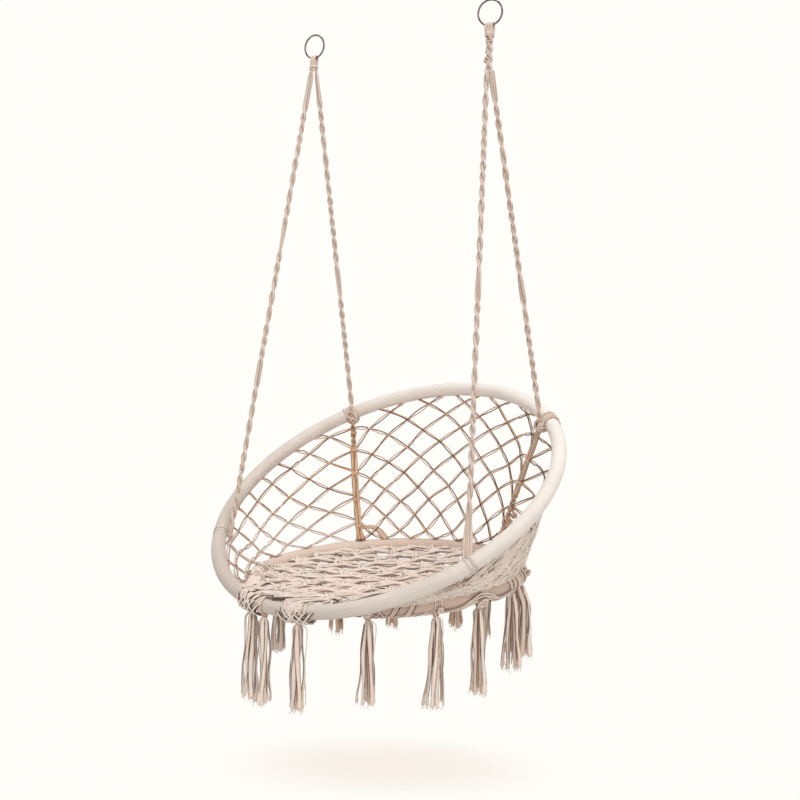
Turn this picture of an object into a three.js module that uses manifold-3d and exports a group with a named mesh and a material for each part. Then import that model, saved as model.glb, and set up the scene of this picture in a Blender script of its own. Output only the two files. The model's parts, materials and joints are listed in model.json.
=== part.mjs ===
// Hanging macrame hammock chair: two fabric-covered steel rings, a knotted net
// between them, four ropes to two steel hanging rings, and fourteen tassels.
// Millimetres, +Z up, the sitter faces -Y. The origin lies halfway between the
// two places where the hanging rings rest on their hooks.
import * as THREE from 'three';
import Module from 'manifold-3d';
import { mergeVertices } from 'three/addons/utils/BufferGeometryUtils.js';

const wasm = await Module();
wasm.setup();
const degrees = THREE.MathUtils.degToRad;

// Driving dimensions
const seatRingDiameter = 600; // outside, over the sleeve
const backRingDiameter = 800; // outside, over the sleeve
const sleeveDiameter = 31;
const seatTubeDiameter = 25;
const backTubeDiameter = 22;
const tubeWall = 1.2;
const ventDiameter = 4;
const clearance = 0.3;
const hangingHeight = 1191; // hooks above the seat ring's centre
const hangingSpacing = 470; // between the two hanging rings
const seatSetback = 2; // seat ring's centre behind the hooks, where the chair balances
const frontGap = 47.5; // between the centre lines of the two rings at their fronts
const frontDrop = 6.4; // back ring's front below the seat ring's front
const seatPitch = degrees(5.5); // its front hangs lower
const backRingTilt = degrees(34.3);

// Hanging rings and the cord loops on them
const hangingRingDiameter = 56.5; // outside
const hangingWireDiameter = 4.5;
const leftRingYaw = degrees(5);
const rightRingYaw = degrees(12);
const loopWidth = 16;
const loopThickness = 5;
const leftNeckLength = 20;
const rightNeckLength = 80; // the two right ropes are twisted together this far
const neckDiameter = 18;
const neckWaistShare = 0.82;

// Ropes, their hitches and the stays that carry on down to the seat ring
const ropeDiameter = 14;
const ropeStartSpread = 15.5; // between the two ropes of one side, at the neck
const frontRopeAngle = degrees(59); // round the back ring, from its front
const backRopeAngle = degrees(134);
const leftStayFootAngle = degrees(130); // round the seat ring, from its front
const rightStayFootAngle = degrees(157);
const stayDiameter = 13;
const hitchWidth = 20;
const hitchThickness = 4;
const ropeTail = 9; // rope past the place where it touches its hitch
const knotDiameter = 36;
const knotDepth = 6; // knot's centre inside the sleeve's surface line

// Nets
const netCordWidth = 5.5;
const netCordThickness = 3.5;
const seatCordWidth = 9;
const seatCordThickness = 4;
const seatDiamondWidth = 64;
const seatDiamondLength = 64;
const mostCornerReach = 2; // of a cord's width, at a point's corner
const seatNetLift = 5; // seat net above the ring's centre plane, at its edge
const seatNetSag = 22;
const frontBandWidth = 292;
const backColumns = 6;
const backRows = 10;
const sideColumns = 7;
const frontColumns = 6;
const frontRows = 4;
const frontBandShares = [0, 0.36, 0.5, 0.64, 1]; // rows, from the seat ring to the back ring
const sideRows = 6;

// Tassels
const tasselLength = 165;
const tasselHeadDiameter = 10;
const tasselShoulderDiameter = 20;
const tasselSkirtDiameter = 34;
const tasselShoulderDrop = 16;
const tasselFluteShare = 0.2;
const tasselFringeShare = 0.05;

// Facet counts
const ringSegments = 36;
const sleeveSides = 12;
const tubeSides = 8;
const roundSides = 10;
const wireSides = 8;
const wireSegments = 24;
const tasselSides = 12;

const sleeveRadius = sleeveDiameter / 2;
const wireRadius = hangingWireDiameter / 2;
const hangingRingRadius = hangingRingDiameter / 2 - wireRadius;
const swingDrop = 2 * hangingRingRadius - wireRadius; // swing axis below the hooks

function material(color, roughness, metalness) {
  return new THREE.MeshStandardMaterial({ color, roughness, metalness });
}

const sleeveMaterial = () => material(0xd9cdc6, 0.9, 0);
const cordMaterial = () => material(0xe3cfbf, 0.95, 0);
const steelMaterial = () => material(0x6b6461, 0.35, 0.9);
const tubeMaterial = () => material(0x8a8d90, 0.45, 0.6);

// Solids

function toSolid(geometry) {
  geometry.deleteAttribute('normal');
  geometry.deleteAttribute('uv');
  const merged = mergeVertices(geometry);
  const corners = new Float32Array(merged.attributes.position.array);
  const faces = new Uint32Array(merged.index.array);
  const solid = new wasm.Manifold(new wasm.Mesh({ numProp: 3, vertProperties: corners, triVerts: faces }));
  if (solid.volume() > 0) return solid;
  const turned = faces.slice();
  for (let i = 0; i < turned.length; i += 3) [turned[i], turned[i + 1]] = [faces[i + 1], faces[i]];
  return new wasm.Manifold(new wasm.Mesh({ numProp: 3, vertProperties: corners, triVerts: turned }));
}

function toMesh(name, solid, itsMaterial) {
  const { vertProperties, triVerts } = solid.getMesh();
  const geometry = new THREE.BufferGeometry();
  geometry.setAttribute('position', new THREE.BufferAttribute(new Float32Array(vertProperties), 3));
  geometry.setIndex(new THREE.BufferAttribute(new Uint32Array(triVerts), 1));
  geometry.computeVertexNormals();
  const mesh = new THREE.Mesh(geometry, itsMaterial);
  mesh.name = name;
  return mesh;
}

function largestBody(solid) {
  return solid.decompose().sort((a, b) => b.volume() - a.volume())[0];
}

function lathe(profile, segments) {
  return new THREE.LatheGeometry(profile.map(([radius, height]) => new THREE.Vector2(radius, height)), segments);
}

function circleProfile(centreRadius, radius, sides) {
  const profile = [];
  for (let i = 0; i <= sides; i += 1) {
    const turn = ((i % sides) / sides) * 2 * Math.PI;
    profile.push([centreRadius + radius * Math.cos(turn), radius * Math.sin(turn)]);
  }
  return profile;
}

// A torus in the XY plane whose first section lies towards -Y.
function torus(centreRadius, radius, sides, segments) {
  return lathe(circleProfile(centreRadius, radius, sides), segments).rotateX(Math.PI / 2);
}

function rod(from, to, diameter, sides = roundSides) {
  const shape = new THREE.Shape();
  for (let i = 0; i < sides; i += 1) {
    const turn = (i / sides) * 2 * Math.PI;
    const x = (diameter / 2) * Math.cos(turn);
    const y = (diameter / 2) * Math.sin(turn);
    if (i === 0) shape.moveTo(x, y);
    else shape.lineTo(x, y);
  }
  const extrudePath = new THREE.LineCurve3(from, to);
  return toSolid(new THREE.ExtrudeGeometry(shape, { steps: 1, bevelEnabled: false, extrudePath }));
}

function ball(centre, diameter) {
  const geometry = new THREE.SphereGeometry(diameter / 2, roundSides, roundSides / 2 + 1);
  return toSolid(geometry.translate(centre.x, centre.y, centre.z));
}

// The two frame rings, in the chair's own frame with its origin at the seat
// ring's centre. An angle counts from a ring's front, towards +X.

function frameRing(outerDiameter, centre, tilt) {
  const radius = (outerDiameter - sleeveDiameter) / 2;
  const outward = (angle) => new THREE.Vector3(
    Math.sin(angle),
    -Math.cos(angle) * Math.cos(tilt),
    -Math.cos(angle) * Math.sin(tilt),
  );
  const tangent = (angle) => new THREE.Vector3(
    Math.cos(angle),
    Math.sin(angle) * Math.cos(tilt),
    Math.sin(angle) * Math.sin(tilt),
  );
  const point = (angle) => outward(angle).multiplyScalar(radius).add(centre);
  const facetPoint = (angle) => {
    const facet = (2 * Math.PI) / ringSegments;
    const whole = Math.floor(angle / facet);
    return point(whole * facet).lerp(point((whole + 1) * facet), angle / facet - whole);
  };
  const around = (diameter, sides) => {
    const geometry = torus(radius, diameter / 2, sides, ringSegments).rotateX(tilt);
    return toSolid(geometry.translate(centre.x, centre.y, centre.z));
  };
  return { radius, centre, tilt, outward, tangent, point, facetPoint, around };
}

const seatRing = frameRing(seatRingDiameter, new THREE.Vector3(), seatPitch);
const backRing = frameRing(backRingDiameter, backRingCentre(), backRingTilt);

// The back ring's front lies just ahead of the seat ring's, whatever their sizes.
function backRingCentre() {
  const backRadius = (backRingDiameter - sleeveDiameter) / 2;
  const seatFront = seatRing.point(0);
  const y = seatFront.y - frontGap + backRadius * Math.cos(backRingTilt);
  const z = seatFront.z - frontDrop + backRadius * Math.sin(backRingTilt);
  return new THREE.Vector3(0, y, z);
}
const keepOff = sleeveDiameter + 2 * clearance;
const seatKeepOff = seatRing.around(keepOff, sleeveSides);
const backKeepOff = backRing.around(keepOff, sleeveSides);

// A steel tube bent to a ring, with a small vent hole beside its weld.
function frameTube(name, ring, diameter) {
  const bore = torus(ring.radius, diameter / 2 - tubeWall, tubeSides, ringSegments);
  const ventFoot = new THREE.Vector3(0, ring.radius - diameter, 0);
  const vent = rod(ventFoot, new THREE.Vector3(0, ring.radius, 0), ventDiameter);
  const outside = toSolid(torus(ring.radius, diameter / 2, tubeSides, ringSegments));
  return toMesh(name, outside.subtract(toSolid(bore)).subtract(vent), tubeMaterial());
}

// The padded fabric sleeve over a tube, with its two ends butted at the back.
function sleeve(name, ring, tubeDiameter) {
  const inside = torus(ring.radius, tubeDiameter / 2 + clearance, tubeSides, ringSegments);
  const outside = toSolid(torus(ring.radius, sleeveRadius, sleeveSides, ringSegments));
  const seam = new THREE.BoxGeometry(2 * clearance, 2 * sleeveDiameter, 2 * sleeveDiameter);
  seam.translate(clearance, ring.radius, 0);
  return toMesh(name, outside.subtract(toSolid(inside)).subtract(toSolid(seam)), sleeveMaterial());
}

function placedRing(ring, meshes) {
  const group = new THREE.Group();
  group.position.copy(ring.centre);
  group.rotation.x = ring.tilt;
  group.add(...meshes);
  return group;
}

// Ropes, hitches and stays

const hooksHeight = hangingHeight;
const swingAxisHeight = hooksHeight - swingDrop;
const boreRadius = loopBoreRadius();

// The wire is bent and turned, so the loop's bore clears it as the loop swings.
function loopBoreRadius() {
  const half = loopWidth / 2;
  const bend = hangingRingRadius - Math.sqrt(hangingRingRadius ** 2 - half ** 2);
  const skew = half * Math.sin(rightRingYaw);
  return (wireRadius + Math.hypot(bend, skew) + 2 * clearance) / Math.cos(Math.PI / (2 * roundSides));
}

function sideFrame(side) {
  const neckLength = side < 0 ? leftNeckLength : rightNeckLength;
  const x = (side * hangingSpacing) / 2;
  const neckTop = swingAxisHeight - boreRadius;
  return { x, y: -seatSetback, neckTop, neckFoot: neckTop - loopThickness - neckLength };
}

function hangingLoop(name, side) {
  const { x, y, neckTop, neckFoot } = sideFrame(side);
  const alongX = (half, diameter) => rod(
    new THREE.Vector3(x - half, y, swingAxisHeight),
    new THREE.Vector3(x + half, y, swingAxisHeight),
    diameter,
    2 * roundSides,
  );
  const wide = neckDiameter / 2;
  const waist = wide * neckWaistShare;
  const narrow = loopWidth / 2;
  const profile = [
    [0, neckTop - loopThickness / 2],
    [narrow, neckTop - loopThickness / 2],
    [waist, neckTop - loopThickness],
    [wide, neckTop - 2 * loopThickness],
    [waist, neckTop - 3 * loopThickness],
    [wide, neckFoot + loopThickness],
    [waist, neckFoot],
    [0, neckFoot],
  ];
  const neck = toSolid(lathe(profile, roundSides).rotateX(Math.PI / 2).translate(x, y, 0));
  const loop = alongX(loopWidth / 2, 2 * (boreRadius + loopThickness));
  return toMesh(name, loop.add(neck).subtract(alongX(loopWidth, 2 * boreRadius)), cordMaterial());
}

function band(ring, angle, thickness) {
  const half = ring.tangent(angle).multiplyScalar(hitchWidth / 2);
  const middle = ring.point(angle);
  return rod(middle.clone().sub(half), middle.clone().add(half), sleeveDiameter + 2 * thickness, sleeveSides);
}

// A rope from the neck to the hitch on the back ring that it touches from inside.
function frontRopeSolid(side, growth) {
  const { x, y, neckFoot } = sideFrame(side);
  const start = new THREE.Vector3(x, y - ropeStartSpread / 2, neckFoot - clearance);
  const angle = side * frontRopeAngle;
  const ringPoint = backRing.point(angle);
  const along = ringPoint.clone().sub(start).normalize();
  const inward = backRing.tangent(angle).cross(along).normalize();
  if (inward.dot(backRing.outward(angle)) > 0) inward.negate();
  const touch = ringPoint.add(inward.multiplyScalar(sleeveRadius + ropeDiameter / 2));
  const end = touch.add(along.multiplyScalar(ropeTail + growth));
  return rod(start, end, ropeDiameter + 2 * growth);
}

function frontRope(name, side) {
  const hitchKeepOff = band(backRing, side * frontRopeAngle, hitchThickness + clearance);
  const solid = frontRopeSolid(side, 0).subtract(hitchKeepOff).subtract(backKeepOff);
  return toMesh(name, solid, cordMaterial());
}

function frontHitch(name, side) {
  const solid = band(backRing, side * frontRopeAngle, hitchThickness).subtract(backKeepOff);
  return toMesh(name, solid, cordMaterial());
}

const knotCentre = (side) => {
  const angle = side * backRopeAngle;
  const inward = backRing.outward(angle).multiplyScalar(-(sleeveRadius + knotDepth));
  return backRing.point(angle).add(inward);
};
const stayFootAngle = (side) => (side < 0 ? -leftStayFootAngle : rightStayFootAngle);
const stayFoot = (side) => seatRing.point(stayFootAngle(side));
const stayPoint = (side, share) => knotCentre(side).lerp(stayFoot(side), share);

function backKnotSolid(side, growth) {
  const wrap = band(backRing, side * backRopeAngle, hitchThickness + growth);
  return wrap.add(ball(knotCentre(side), knotDiameter + 2 * growth));
}

function backKnot(name, side) {
  return toMesh(name, backKnotSolid(side, 0).subtract(backKeepOff), cordMaterial());
}

function backRope(name, side) {
  const { x, y, neckFoot } = sideFrame(side);
  const start = new THREE.Vector3(x, y + ropeStartSpread / 2, neckFoot - clearance);
  const solid = rod(start, knotCentre(side), ropeDiameter);
  return toMesh(name, solid.subtract(backKnotSolid(side, clearance)).subtract(backKeepOff), cordMaterial());
}

function staySolid(side, growth) {
  return rod(knotCentre(side), stayFoot(side), stayDiameter + 2 * growth);
}

function stay(name, side) {
  const footKeepOff = band(seatRing, stayFootAngle(side), hitchThickness + clearance);
  const solid = staySolid(side, 0).subtract(backKnotSolid(side, clearance)).subtract(footKeepOff);
  return toMesh(name, largestBody(solid.subtract(seatKeepOff).subtract(backKeepOff)), cordMaterial());
}

function stayHitch(name, side) {
  const solid = band(seatRing, stayFootAngle(side), hitchThickness).subtract(seatKeepOff);
  return toMesh(name, solid, cordMaterial());
}

// A net is a set of points with their surface normals, joined by flat cords.
// Each point's corners lie where the edges of its neighbouring cords meet.

class Net {
  constructor(width, thickness) {
    this.width = width;
    this.thickness = thickness;
    this.points = new Map();
    this.cords = [];
  }

  add(key, place) {
    this.points.set(key, { ...place, ends: [] });
  }

  join(from, to) {
    if (!this.points.has(from) || !this.points.has(to)) return;
    this.cords.push([from, to]);
    this.points.get(from).ends.push(to);
    this.points.get(to).ends.push(from);
  }

  end(from, key, place) {
    if (!this.points.has(key)) this.add(key, place);
    this.join(from, key);
  }

  // The corners round one point, each shared by two neighbouring cords.
  corners(key, width) {
    const { point, normal, ends } = this.points.get(key);
    const first = this.heading(key, ends[0]);
    const bearings = ends.map((end) => {
      const heading = this.heading(key, end);
      const turn = Math.atan2(first.clone().cross(heading).dot(normal), first.dot(heading));
      return { end, turn: end === ends[0] ? 0 : (turn + 2 * Math.PI) % (2 * Math.PI) };
    });
    bearings.sort((a, b) => a.turn - b.turn);
    const half = width / 2;
    const at = (turn, reach) => first.clone().applyAxisAngle(normal, turn).multiplyScalar(reach).add(point);
    if (bearings.length === 1) {
      return { bearings, outline: [at(Math.PI / 2, half), at(-Math.PI / 2, half)] };
    }
    const outline = bearings.map(({ turn }, i) => {
      const next = i + 1 < bearings.length ? bearings[i + 1].turn : 2 * Math.PI;
      const opening = next - turn;
      const reach = Math.min(half / Math.sin(opening / 2), mostCornerReach * width);
      return at(turn + opening / 2, reach);
    });
    return { bearings, outline };
  }

  heading(from, to) {
    const { point, normal } = this.points.get(from);
    const line = this.points.get(to).point.clone().sub(point);
    return line.addScaledVector(normal, -line.dot(normal)).normalize();
  }

  solid(growth = 0) {
    const positions = [];
    const faces = [];
    const layout = new Map();
    for (const [key, { normal, ends }] of this.points) {
      if (ends.length === 0) continue;
      const { bearings, outline } = this.corners(key, this.width + 2 * growth);
      const start = positions.length / 3;
      for (const lift of [this.thickness / 2 + growth, -this.thickness / 2 - growth]) {
        for (const corner of outline) positions.push(...corner.clone().addScaledVector(normal, lift).toArray());
      }
      layout.set(key, { bearings, start, count: outline.length });
      const count = outline.length;
      for (let i = 1; i + 1 < count; i += 1) {
        faces.push(start, start + i, start + i + 1);
        faces.push(start + count, start + count + i + 1, start + count + i);
      }
      if (bearings.length === 1) faces.push(...wall(start + 1, start, start + 3, start + 2));
    }
    for (const [from, to] of this.cords) {
      const [leftA, rightA] = sides(layout.get(from), to);
      const [leftB, rightB] = sides(layout.get(to), from);
      const downA = layout.get(from).count;
      const downB = layout.get(to).count;
      faces.push(rightA, leftB, rightB, rightA, rightB, leftA);
      faces.push(rightA + downA, rightB + downB, leftB + downB, rightA + downA, leftA + downA, rightB + downB);
      faces.push(...wall(leftB, rightA, leftB + downB, rightA + downA));
      faces.push(...wall(leftA, rightB, leftA + downA, rightB + downB));
    }
    const geometry = new THREE.BufferGeometry();
    geometry.setAttribute('position', new THREE.BufferAttribute(new Float32Array(positions), 3));
    geometry.setIndex(faces);
    return toSolid(geometry);
  }
}

// The corners to the left and right of a cord, seen from its point.
function sides({ bearings, start, count }, end) {
  const place = bearings.findIndex((bearing) => bearing.end === end);
  if (bearings.length === 1) return [start, start + 1];
  return [start + place, start + ((place + count - 1) % count)];
}

// Two faces that close the edge between a top and a bottom face.
function wall(topA, topB, bottomA, bottomB) {
  return [topA, topB, bottomB, topA, bottomB, bottomA];
}

// Nets between the two rings, placed by an angle round the rings and by the
// share of the way from the back ring to the seat ring.

const surfacePoint = (angle, share) => backRing.point(angle).lerp(seatRing.point(angle), share);

function onSurface(angle, share) {
  const step = degrees(1);
  const across = surfacePoint(angle + step, share).sub(surfacePoint(angle - step, share));
  const down = surfacePoint(angle, 1).sub(surfacePoint(angle, 0));
  return { point: surfacePoint(angle, share), normal: across.cross(down).normalize() };
}

const rowShare = (row) => 0.08 + 0.0825 * row + 0.001 * row * row;
const stayAngle = (side, share) => side * backRopeAngle
  + (stayFootAngle(side) - side * backRopeAngle) * Math.min(share, 1);

function onStay(side, share) {
  const { normal } = onSurface(stayAngle(side, share), share);
  return { point: stayPoint(side, share), normal };
}

const netKeepOffs = [seatKeepOff, backKeepOff];
for (const side of [-1, 1]) {
  netKeepOffs.push(staySolid(side, clearance), backKnotSolid(side, clearance));
  netKeepOffs.push(frontRopeSolid(side, clearance));
  netKeepOffs.push(band(backRing, side * frontRopeAngle, hitchThickness + clearance));
  netKeepOffs.push(band(seatRing, stayFootAngle(side), hitchThickness + clearance));
}

// Each net keeps clear of the rings, the stays and the nets made before it.
function netMesh(name, net) {
  const solid = netKeepOffs.reduce((rest, keepOff) => rest.subtract(keepOff), net.solid());
  netKeepOffs.push(net.solid(clearance));
  return toMesh(name, largestBody(solid), cordMaterial());
}

// The diamond net of the back, between the two stays, in three upright panels.
function backPanels() {
  const angleAt = (column, share) => {
    const left = 2 * Math.PI + stayAngle(-1, share);
    const right = stayAngle(1, share);
    return left + ((right - left) * column) / backColumns;
  };
  const place = (column, row) => {
    const share = Math.min(rowShare(row), 1);
    return onSurface(angleAt(column, share), share);
  };
  const isStay = (column) => column === 0 || column === backColumns;
  const home = (column) => (column < 2 ? 0 : column <= 4 ? 1 : 2);
  return [1, 0, 2].map((panel) => {
    const name = `back_net_${['left', 'middle', 'right'][panel]}`;
    const net = new Net(netCordWidth, netCordThickness);
    const inside = (column, row) => row < backRows && !isStay(column) && home(column) === panel;
    const key = (column, row) => `${column}/${row}`;
    const each = (visit) => {
      for (let row = 0; row < backRows; row += 1) {
        for (let column = (row % 2) / 2; column <= backColumns; column += 1) {
          if (inside(column, row)) visit(column, row);
        }
      }
    };
    each((column, row) => net.add(key(column, row), place(column, row)));
    each((column, row) => {
      for (const [aside, down] of [[-1, -1], [1, -1], [-1, 1], [1, 1]]) {
        const nextColumn = column + aside / 2;
        const nextRow = row + down;
        const next = key(nextColumn, nextRow);
        const here = key(column, row);
        if (inside(nextColumn, nextRow)) {
          if (down > 0) net.join(here, next);
        } else if (nextRow < 0) {
          net.end(here, `${here}top${aside}`, onSurface(angleAt(column + aside / 3, 0), 0));
        } else if (isStay(nextColumn)) {
          net.end(here, next, onStay(nextColumn === 0 ? -1 : 1, rowShare(nextRow)));
        } else if (nextRow >= backRows) {
          net.end(here, next, place(nextColumn, nextRow));
        } else if (panel !== 1) {
          net.end(here, `${here}to${next}`, place(nextColumn, nextRow));
        }
      }
    });
    return netMesh(name, net);
  });
}

// The net beside the sitter. Its cords run down and back from the back ring,
// crossed by cords that run forward from the stay beside the back ring.
function sidePanels(side) {
  const word = side < 0 ? 'left' : 'right';
  const lastColumn = sideColumns + frontColumns;
  const stayRowShare = (row) => rowShare(2 * (row - 1));
  const frontEdge = (row) => degrees(68 + 0.75 * row * row);
  const bandEdge = degrees(25);
  const seatEndShare = 0.93;
  const place = (column, row) => {
    if (row === 0) {
      const rear = degrees(126.5 - 8.6 * Math.min(column, sideColumns));
      const front = (rear - bandEdge) * Math.max(0, (column - sideColumns) / frontColumns);
      return onSurface(side * (rear - front), 0);
    }
    if (column > sideColumns) {
      const share = (column - sideColumns) / frontColumns;
      return onSurface(side * (frontEdge(row) * (1 - share) + bandEdge * share), row / frontRows);
    }
    const share = (column - row + 1) / (sideColumns + 1 - row);
    const stayAt = Math.abs(stayAngle(side, stayRowShare(row)));
    const angle = stayAt + (frontEdge(row) - stayAt) * share;
    const fall = stayRowShare(row) + (column - row + 1) * (0.036 * row - 0.004 * row * row);
    return onSurface(side * angle, Math.min(fall, 1));
  };
  const fallShare = (column, row) => (column > sideColumns
    ? row / frontRows
    : stayRowShare(row) + (column - row + 1) * (0.036 * row - 0.004 * row * row));
  const isPoint = (column, row) => row > 0 && row <= column && fallShare(column, row) < seatEndShare;
  const home = (column) => (column <= 4 ? 0 : column <= sideColumns + 1 ? 1 : 2);
  const names = [`${word}_side_net_rear`, `${word}_side_net_front`, `front_net_${word}`];
  return [2, 1, 0].map((panel) => {
    const net = new Net(netCordWidth, netCordThickness);
    const key = (column, row) => `${column}/${row}`;
    const each = (visit) => {
      for (let column = 1; column < lastColumn; column += 1) {
        if (home(column) !== panel) continue;
        for (let row = 1; isPoint(column, row); row += 1) visit(column, row);
      }
    };
    each((column, row) => net.add(key(column, row), place(column, row)));
    each((column, row) => {
      const here = key(column, row);
      if (row === 1) net.end(here, key(column, 0), place(column, 0));
      if (isPoint(column, row + 1)) net.join(here, key(column, row + 1));
      else if (row === column) net.end(here, `stay${row + 1}`, onStay(side, stayRowShare(row + 1)));
      else net.end(here, `foot${here}`, onSurface(side * Math.abs(angleOf(place(column, row + 1))), 1));
      if (row === column) net.end(here, `stay${row}`, onStay(side, stayRowShare(row)));
      const ahead = place(column + 1, row);
      if (home(column + 1) === panel && isPoint(column + 1, row) && column + 1 < lastColumn) {
        net.join(here, key(column + 1, row));
      } else if (isPoint(column + 1, row) || column + 1 === lastColumn) {
        net.end(here, `ahead${here}`, ahead);
      } else {
        net.end(here, `ahead${here}`, onSurface(side * Math.abs(angleOf(ahead)), 1));
      }
    });
    return netMesh(names[panel], net);
  });
}

const angleOf = ({ point }) => Math.atan2(point.x, -point.y);

// The seat: a diamond net of thicker cords inside the seat ring, which carries
// on over its front to the back ring.

const seatHalfPitch = seatDiamondWidth / 2;
const seatHalfStep = seatDiamondLength / 2;

function seatNet(name) {
  const net = new Net(seatCordWidth, seatCordThickness);
  const reach = seatRing.radius;
  const place = (x, y) => {
    const closeness = Math.min((x * x + y * y) / (reach * reach), 1);
    const point = new THREE.Vector3(x, y, seatNetLift - seatNetSag * (1 - closeness));
    return { point: point.applyAxisAngle(new THREE.Vector3(1, 0, 0), seatPitch), normal: new THREE.Vector3(0, 0, 1) };
  };
  const span = Math.ceil(reach / seatHalfPitch);
  const rows = Math.ceil(reach / seatHalfStep);
  const isPoint = (i, j) => Math.hypot(i * seatHalfPitch, j * seatHalfStep) < reach - sleeveRadius - clearance;
  const key = (i, j) => `${i}/${j}`;
  const each = (visit) => {
    for (let j = -rows; j <= rows; j += 1) {
      for (let i = -span; i <= span; i += 1) if ((i + j) % 2 === 0 && isPoint(i, j)) visit(i, j);
    }
  };
  each((i, j) => net.add(key(i, j), place(i * seatHalfPitch, j * seatHalfStep)));
  each((i, j) => {
    for (const [aside, ahead] of [[-1, -1], [1, -1], [-1, 1], [1, 1]]) {
      const next = key(i + aside, j + ahead);
      if (isPoint(i + aside, j + ahead)) {
        if (ahead > 0) net.join(key(i, j), next);
      } else {
        const share = edgeShare(i, j, aside, ahead, reach);
        const x = (i + aside * share) * seatHalfPitch;
        const y = (j + ahead * share) * seatHalfStep;
        net.add(`${key(i, j)}to${next}`, place(x, y));
        net.join(key(i, j), `${key(i, j)}to${next}`);
      }
    }
  });
  return netMesh(name, net);
}

// How much of a cord's step it takes to reach the ring's centre line, at most all.
function edgeShare(i, j, aside, ahead, reach) {
  const x = i * seatHalfPitch;
  const y = j * seatHalfStep;
  const dx = aside * seatHalfPitch;
  const dy = ahead * seatHalfStep;
  const a = dx * dx + dy * dy;
  const b = x * dx + y * dy;
  const c = x * x + y * y - reach * reach;
  return Math.min((-b + Math.sqrt(b * b - a * c)) / a, 1);
}

function frontNet(name) {
  const net = new Net(seatCordWidth, seatCordThickness);
  const ringPointAt = (ring, x) => ring.point(Math.asin(x / ring.radius));
  const place = (i, j) => {
    const x = i * seatHalfPitch;
    const point = ringPointAt(seatRing, x).lerp(ringPointAt(backRing, x), frontBandShares[j]);
    return { point, normal: new THREE.Vector3(0, 0, 1) };
  };
  const lastRow = frontBandShares.length - 1;
  const span = Math.floor(frontBandWidth / 2 / seatHalfPitch);
  const key = (i, j) => `${i}/${j}`;
  for (let j = 0; j <= lastRow; j += 1) {
    for (let i = -span; i <= span; i += 1) if ((i + j) % 2 === 0) net.add(key(i, j), place(i, j));
  }
  for (let j = 0; j < lastRow; j += 1) {
    for (let i = -span; i <= span; i += 1) {
      net.join(key(i, j), key(i - 1, j + 1));
      net.join(key(i, j), key(i + 1, j + 1));
    }
  }
  return netMesh(name, net);
}

// Tassels: cord ends that fan out below a knot, each hinged at its head.

const tassels = [
  { ring: backRing, angle: degrees(-14.5), lengthShare: 1.1 },
  { ring: backRing, angle: degrees(-8), lengthShare: 1.09 },
  { ring: backRing, angle: degrees(5.5), lengthShare: 1.06 },
  { ring: seatRing, angle: degrees(30), lengthShare: 1.02 },
  { ring: seatRing, angle: degrees(57), lengthShare: 1.13 },
  { ring: seatRing, angle: degrees(78), lengthShare: 1.1 },
  { ring: seatRing, angle: degrees(104), lengthShare: 1 },
  { ring: seatRing, angle: degrees(121), lengthShare: 1 },
  { ring: seatRing, angle: degrees(136), lengthShare: 1.1 },
  { ring: seatRing, angle: degrees(164), lengthShare: 1.08 },
  { ring: seatRing, angle: degrees(-178), lengthShare: 1.04 },
  { ring: seatRing, angle: degrees(-146), lengthShare: 1.08 },
  { ring: seatRing, angle: degrees(-118.5), lengthShare: 1.08 },
  { ring: seatRing, angle: degrees(-83.5), lengthShare: 1.13 },
];

function tasselGeometry(length) {
  const headRadius = tasselHeadDiameter / 2;
  const rows = [
    [headRadius * Math.cos(degrees(30)), headRadius * Math.sin(degrees(30)), 0],
    [headRadius, -headRadius, 0],
    [tasselShoulderDiameter / 2, -tasselShoulderDrop, tasselFluteShare],
    [tasselSkirtDiameter / 2, -length, tasselFluteShare],
  ];
  const positions = [0, 0, headRadius];
  const faces = [];
  rows.forEach(([radius, height, flute], row) => {
    for (let i = 0; i < tasselSides; i += 1) {
      const turn = (i / tasselSides) * 2 * Math.PI;
      const isGroove = i % 2 === 1;
      const reach = radius * (isGroove ? 1 - flute : 1);
      const fringe = row === rows.length - 1 && isGroove ? length * tasselFringeShare : 0;
      positions.push(reach * Math.cos(turn), reach * Math.sin(turn), height + fringe);
    }
  });
  positions.push(0, 0, -length * (1 - tasselFringeShare));
  const corner = (row, i) => 1 + row * tasselSides + (i % tasselSides);
  const last = rows.length - 1;
  for (let i = 0; i < tasselSides; i += 1) {
    faces.push(0, corner(0, i), corner(0, i + 1));
    for (let row = 0; row < last; row += 1) {
      faces.push(corner(row, i), corner(row + 1, i), corner(row + 1, i + 1));
      faces.push(corner(row, i), corner(row + 1, i + 1), corner(row, i + 1));
    }
    faces.push(corner(last, i), positions.length / 3 - 1, corner(last, i + 1));
  }
  const geometry = new THREE.BufferGeometry();
  geometry.setAttribute('position', new THREE.BufferAttribute(new Float32Array(positions), 3));
  geometry.setIndex(faces);
  return geometry;
}

function tassel({ ring, angle, lengthShare }, number) {
  const solid = toSolid(tasselGeometry(tasselLength * lengthShare));
  const mesh = toMesh(`tassel_${number + 1}`, solid, cordMaterial());
  mesh.position.copy(ring.facetPoint(angle));
  mesh.position.z -= sleeveRadius + clearance + tasselHeadDiameter / 2;
  mesh.rotation.z = angle;
  return mesh;
}

function hangingRing(name, side, yaw) {
  const geometry = torus(hangingRingRadius, wireRadius, wireSides, wireSegments).rotateX(Math.PI / 2);
  const mesh = toMesh(name, toSolid(geometry), steelMaterial());
  mesh.position.set((side * hangingSpacing) / 2, 0, wireRadius - hangingRingRadius);
  mesh.rotation.z = yaw;
  return mesh;
}

const part = new THREE.Group();
part.add(hangingRing('left_hanging_ring', -1, leftRingYaw));
part.add(hangingRing('right_hanging_ring', 1, rightRingYaw));

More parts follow.
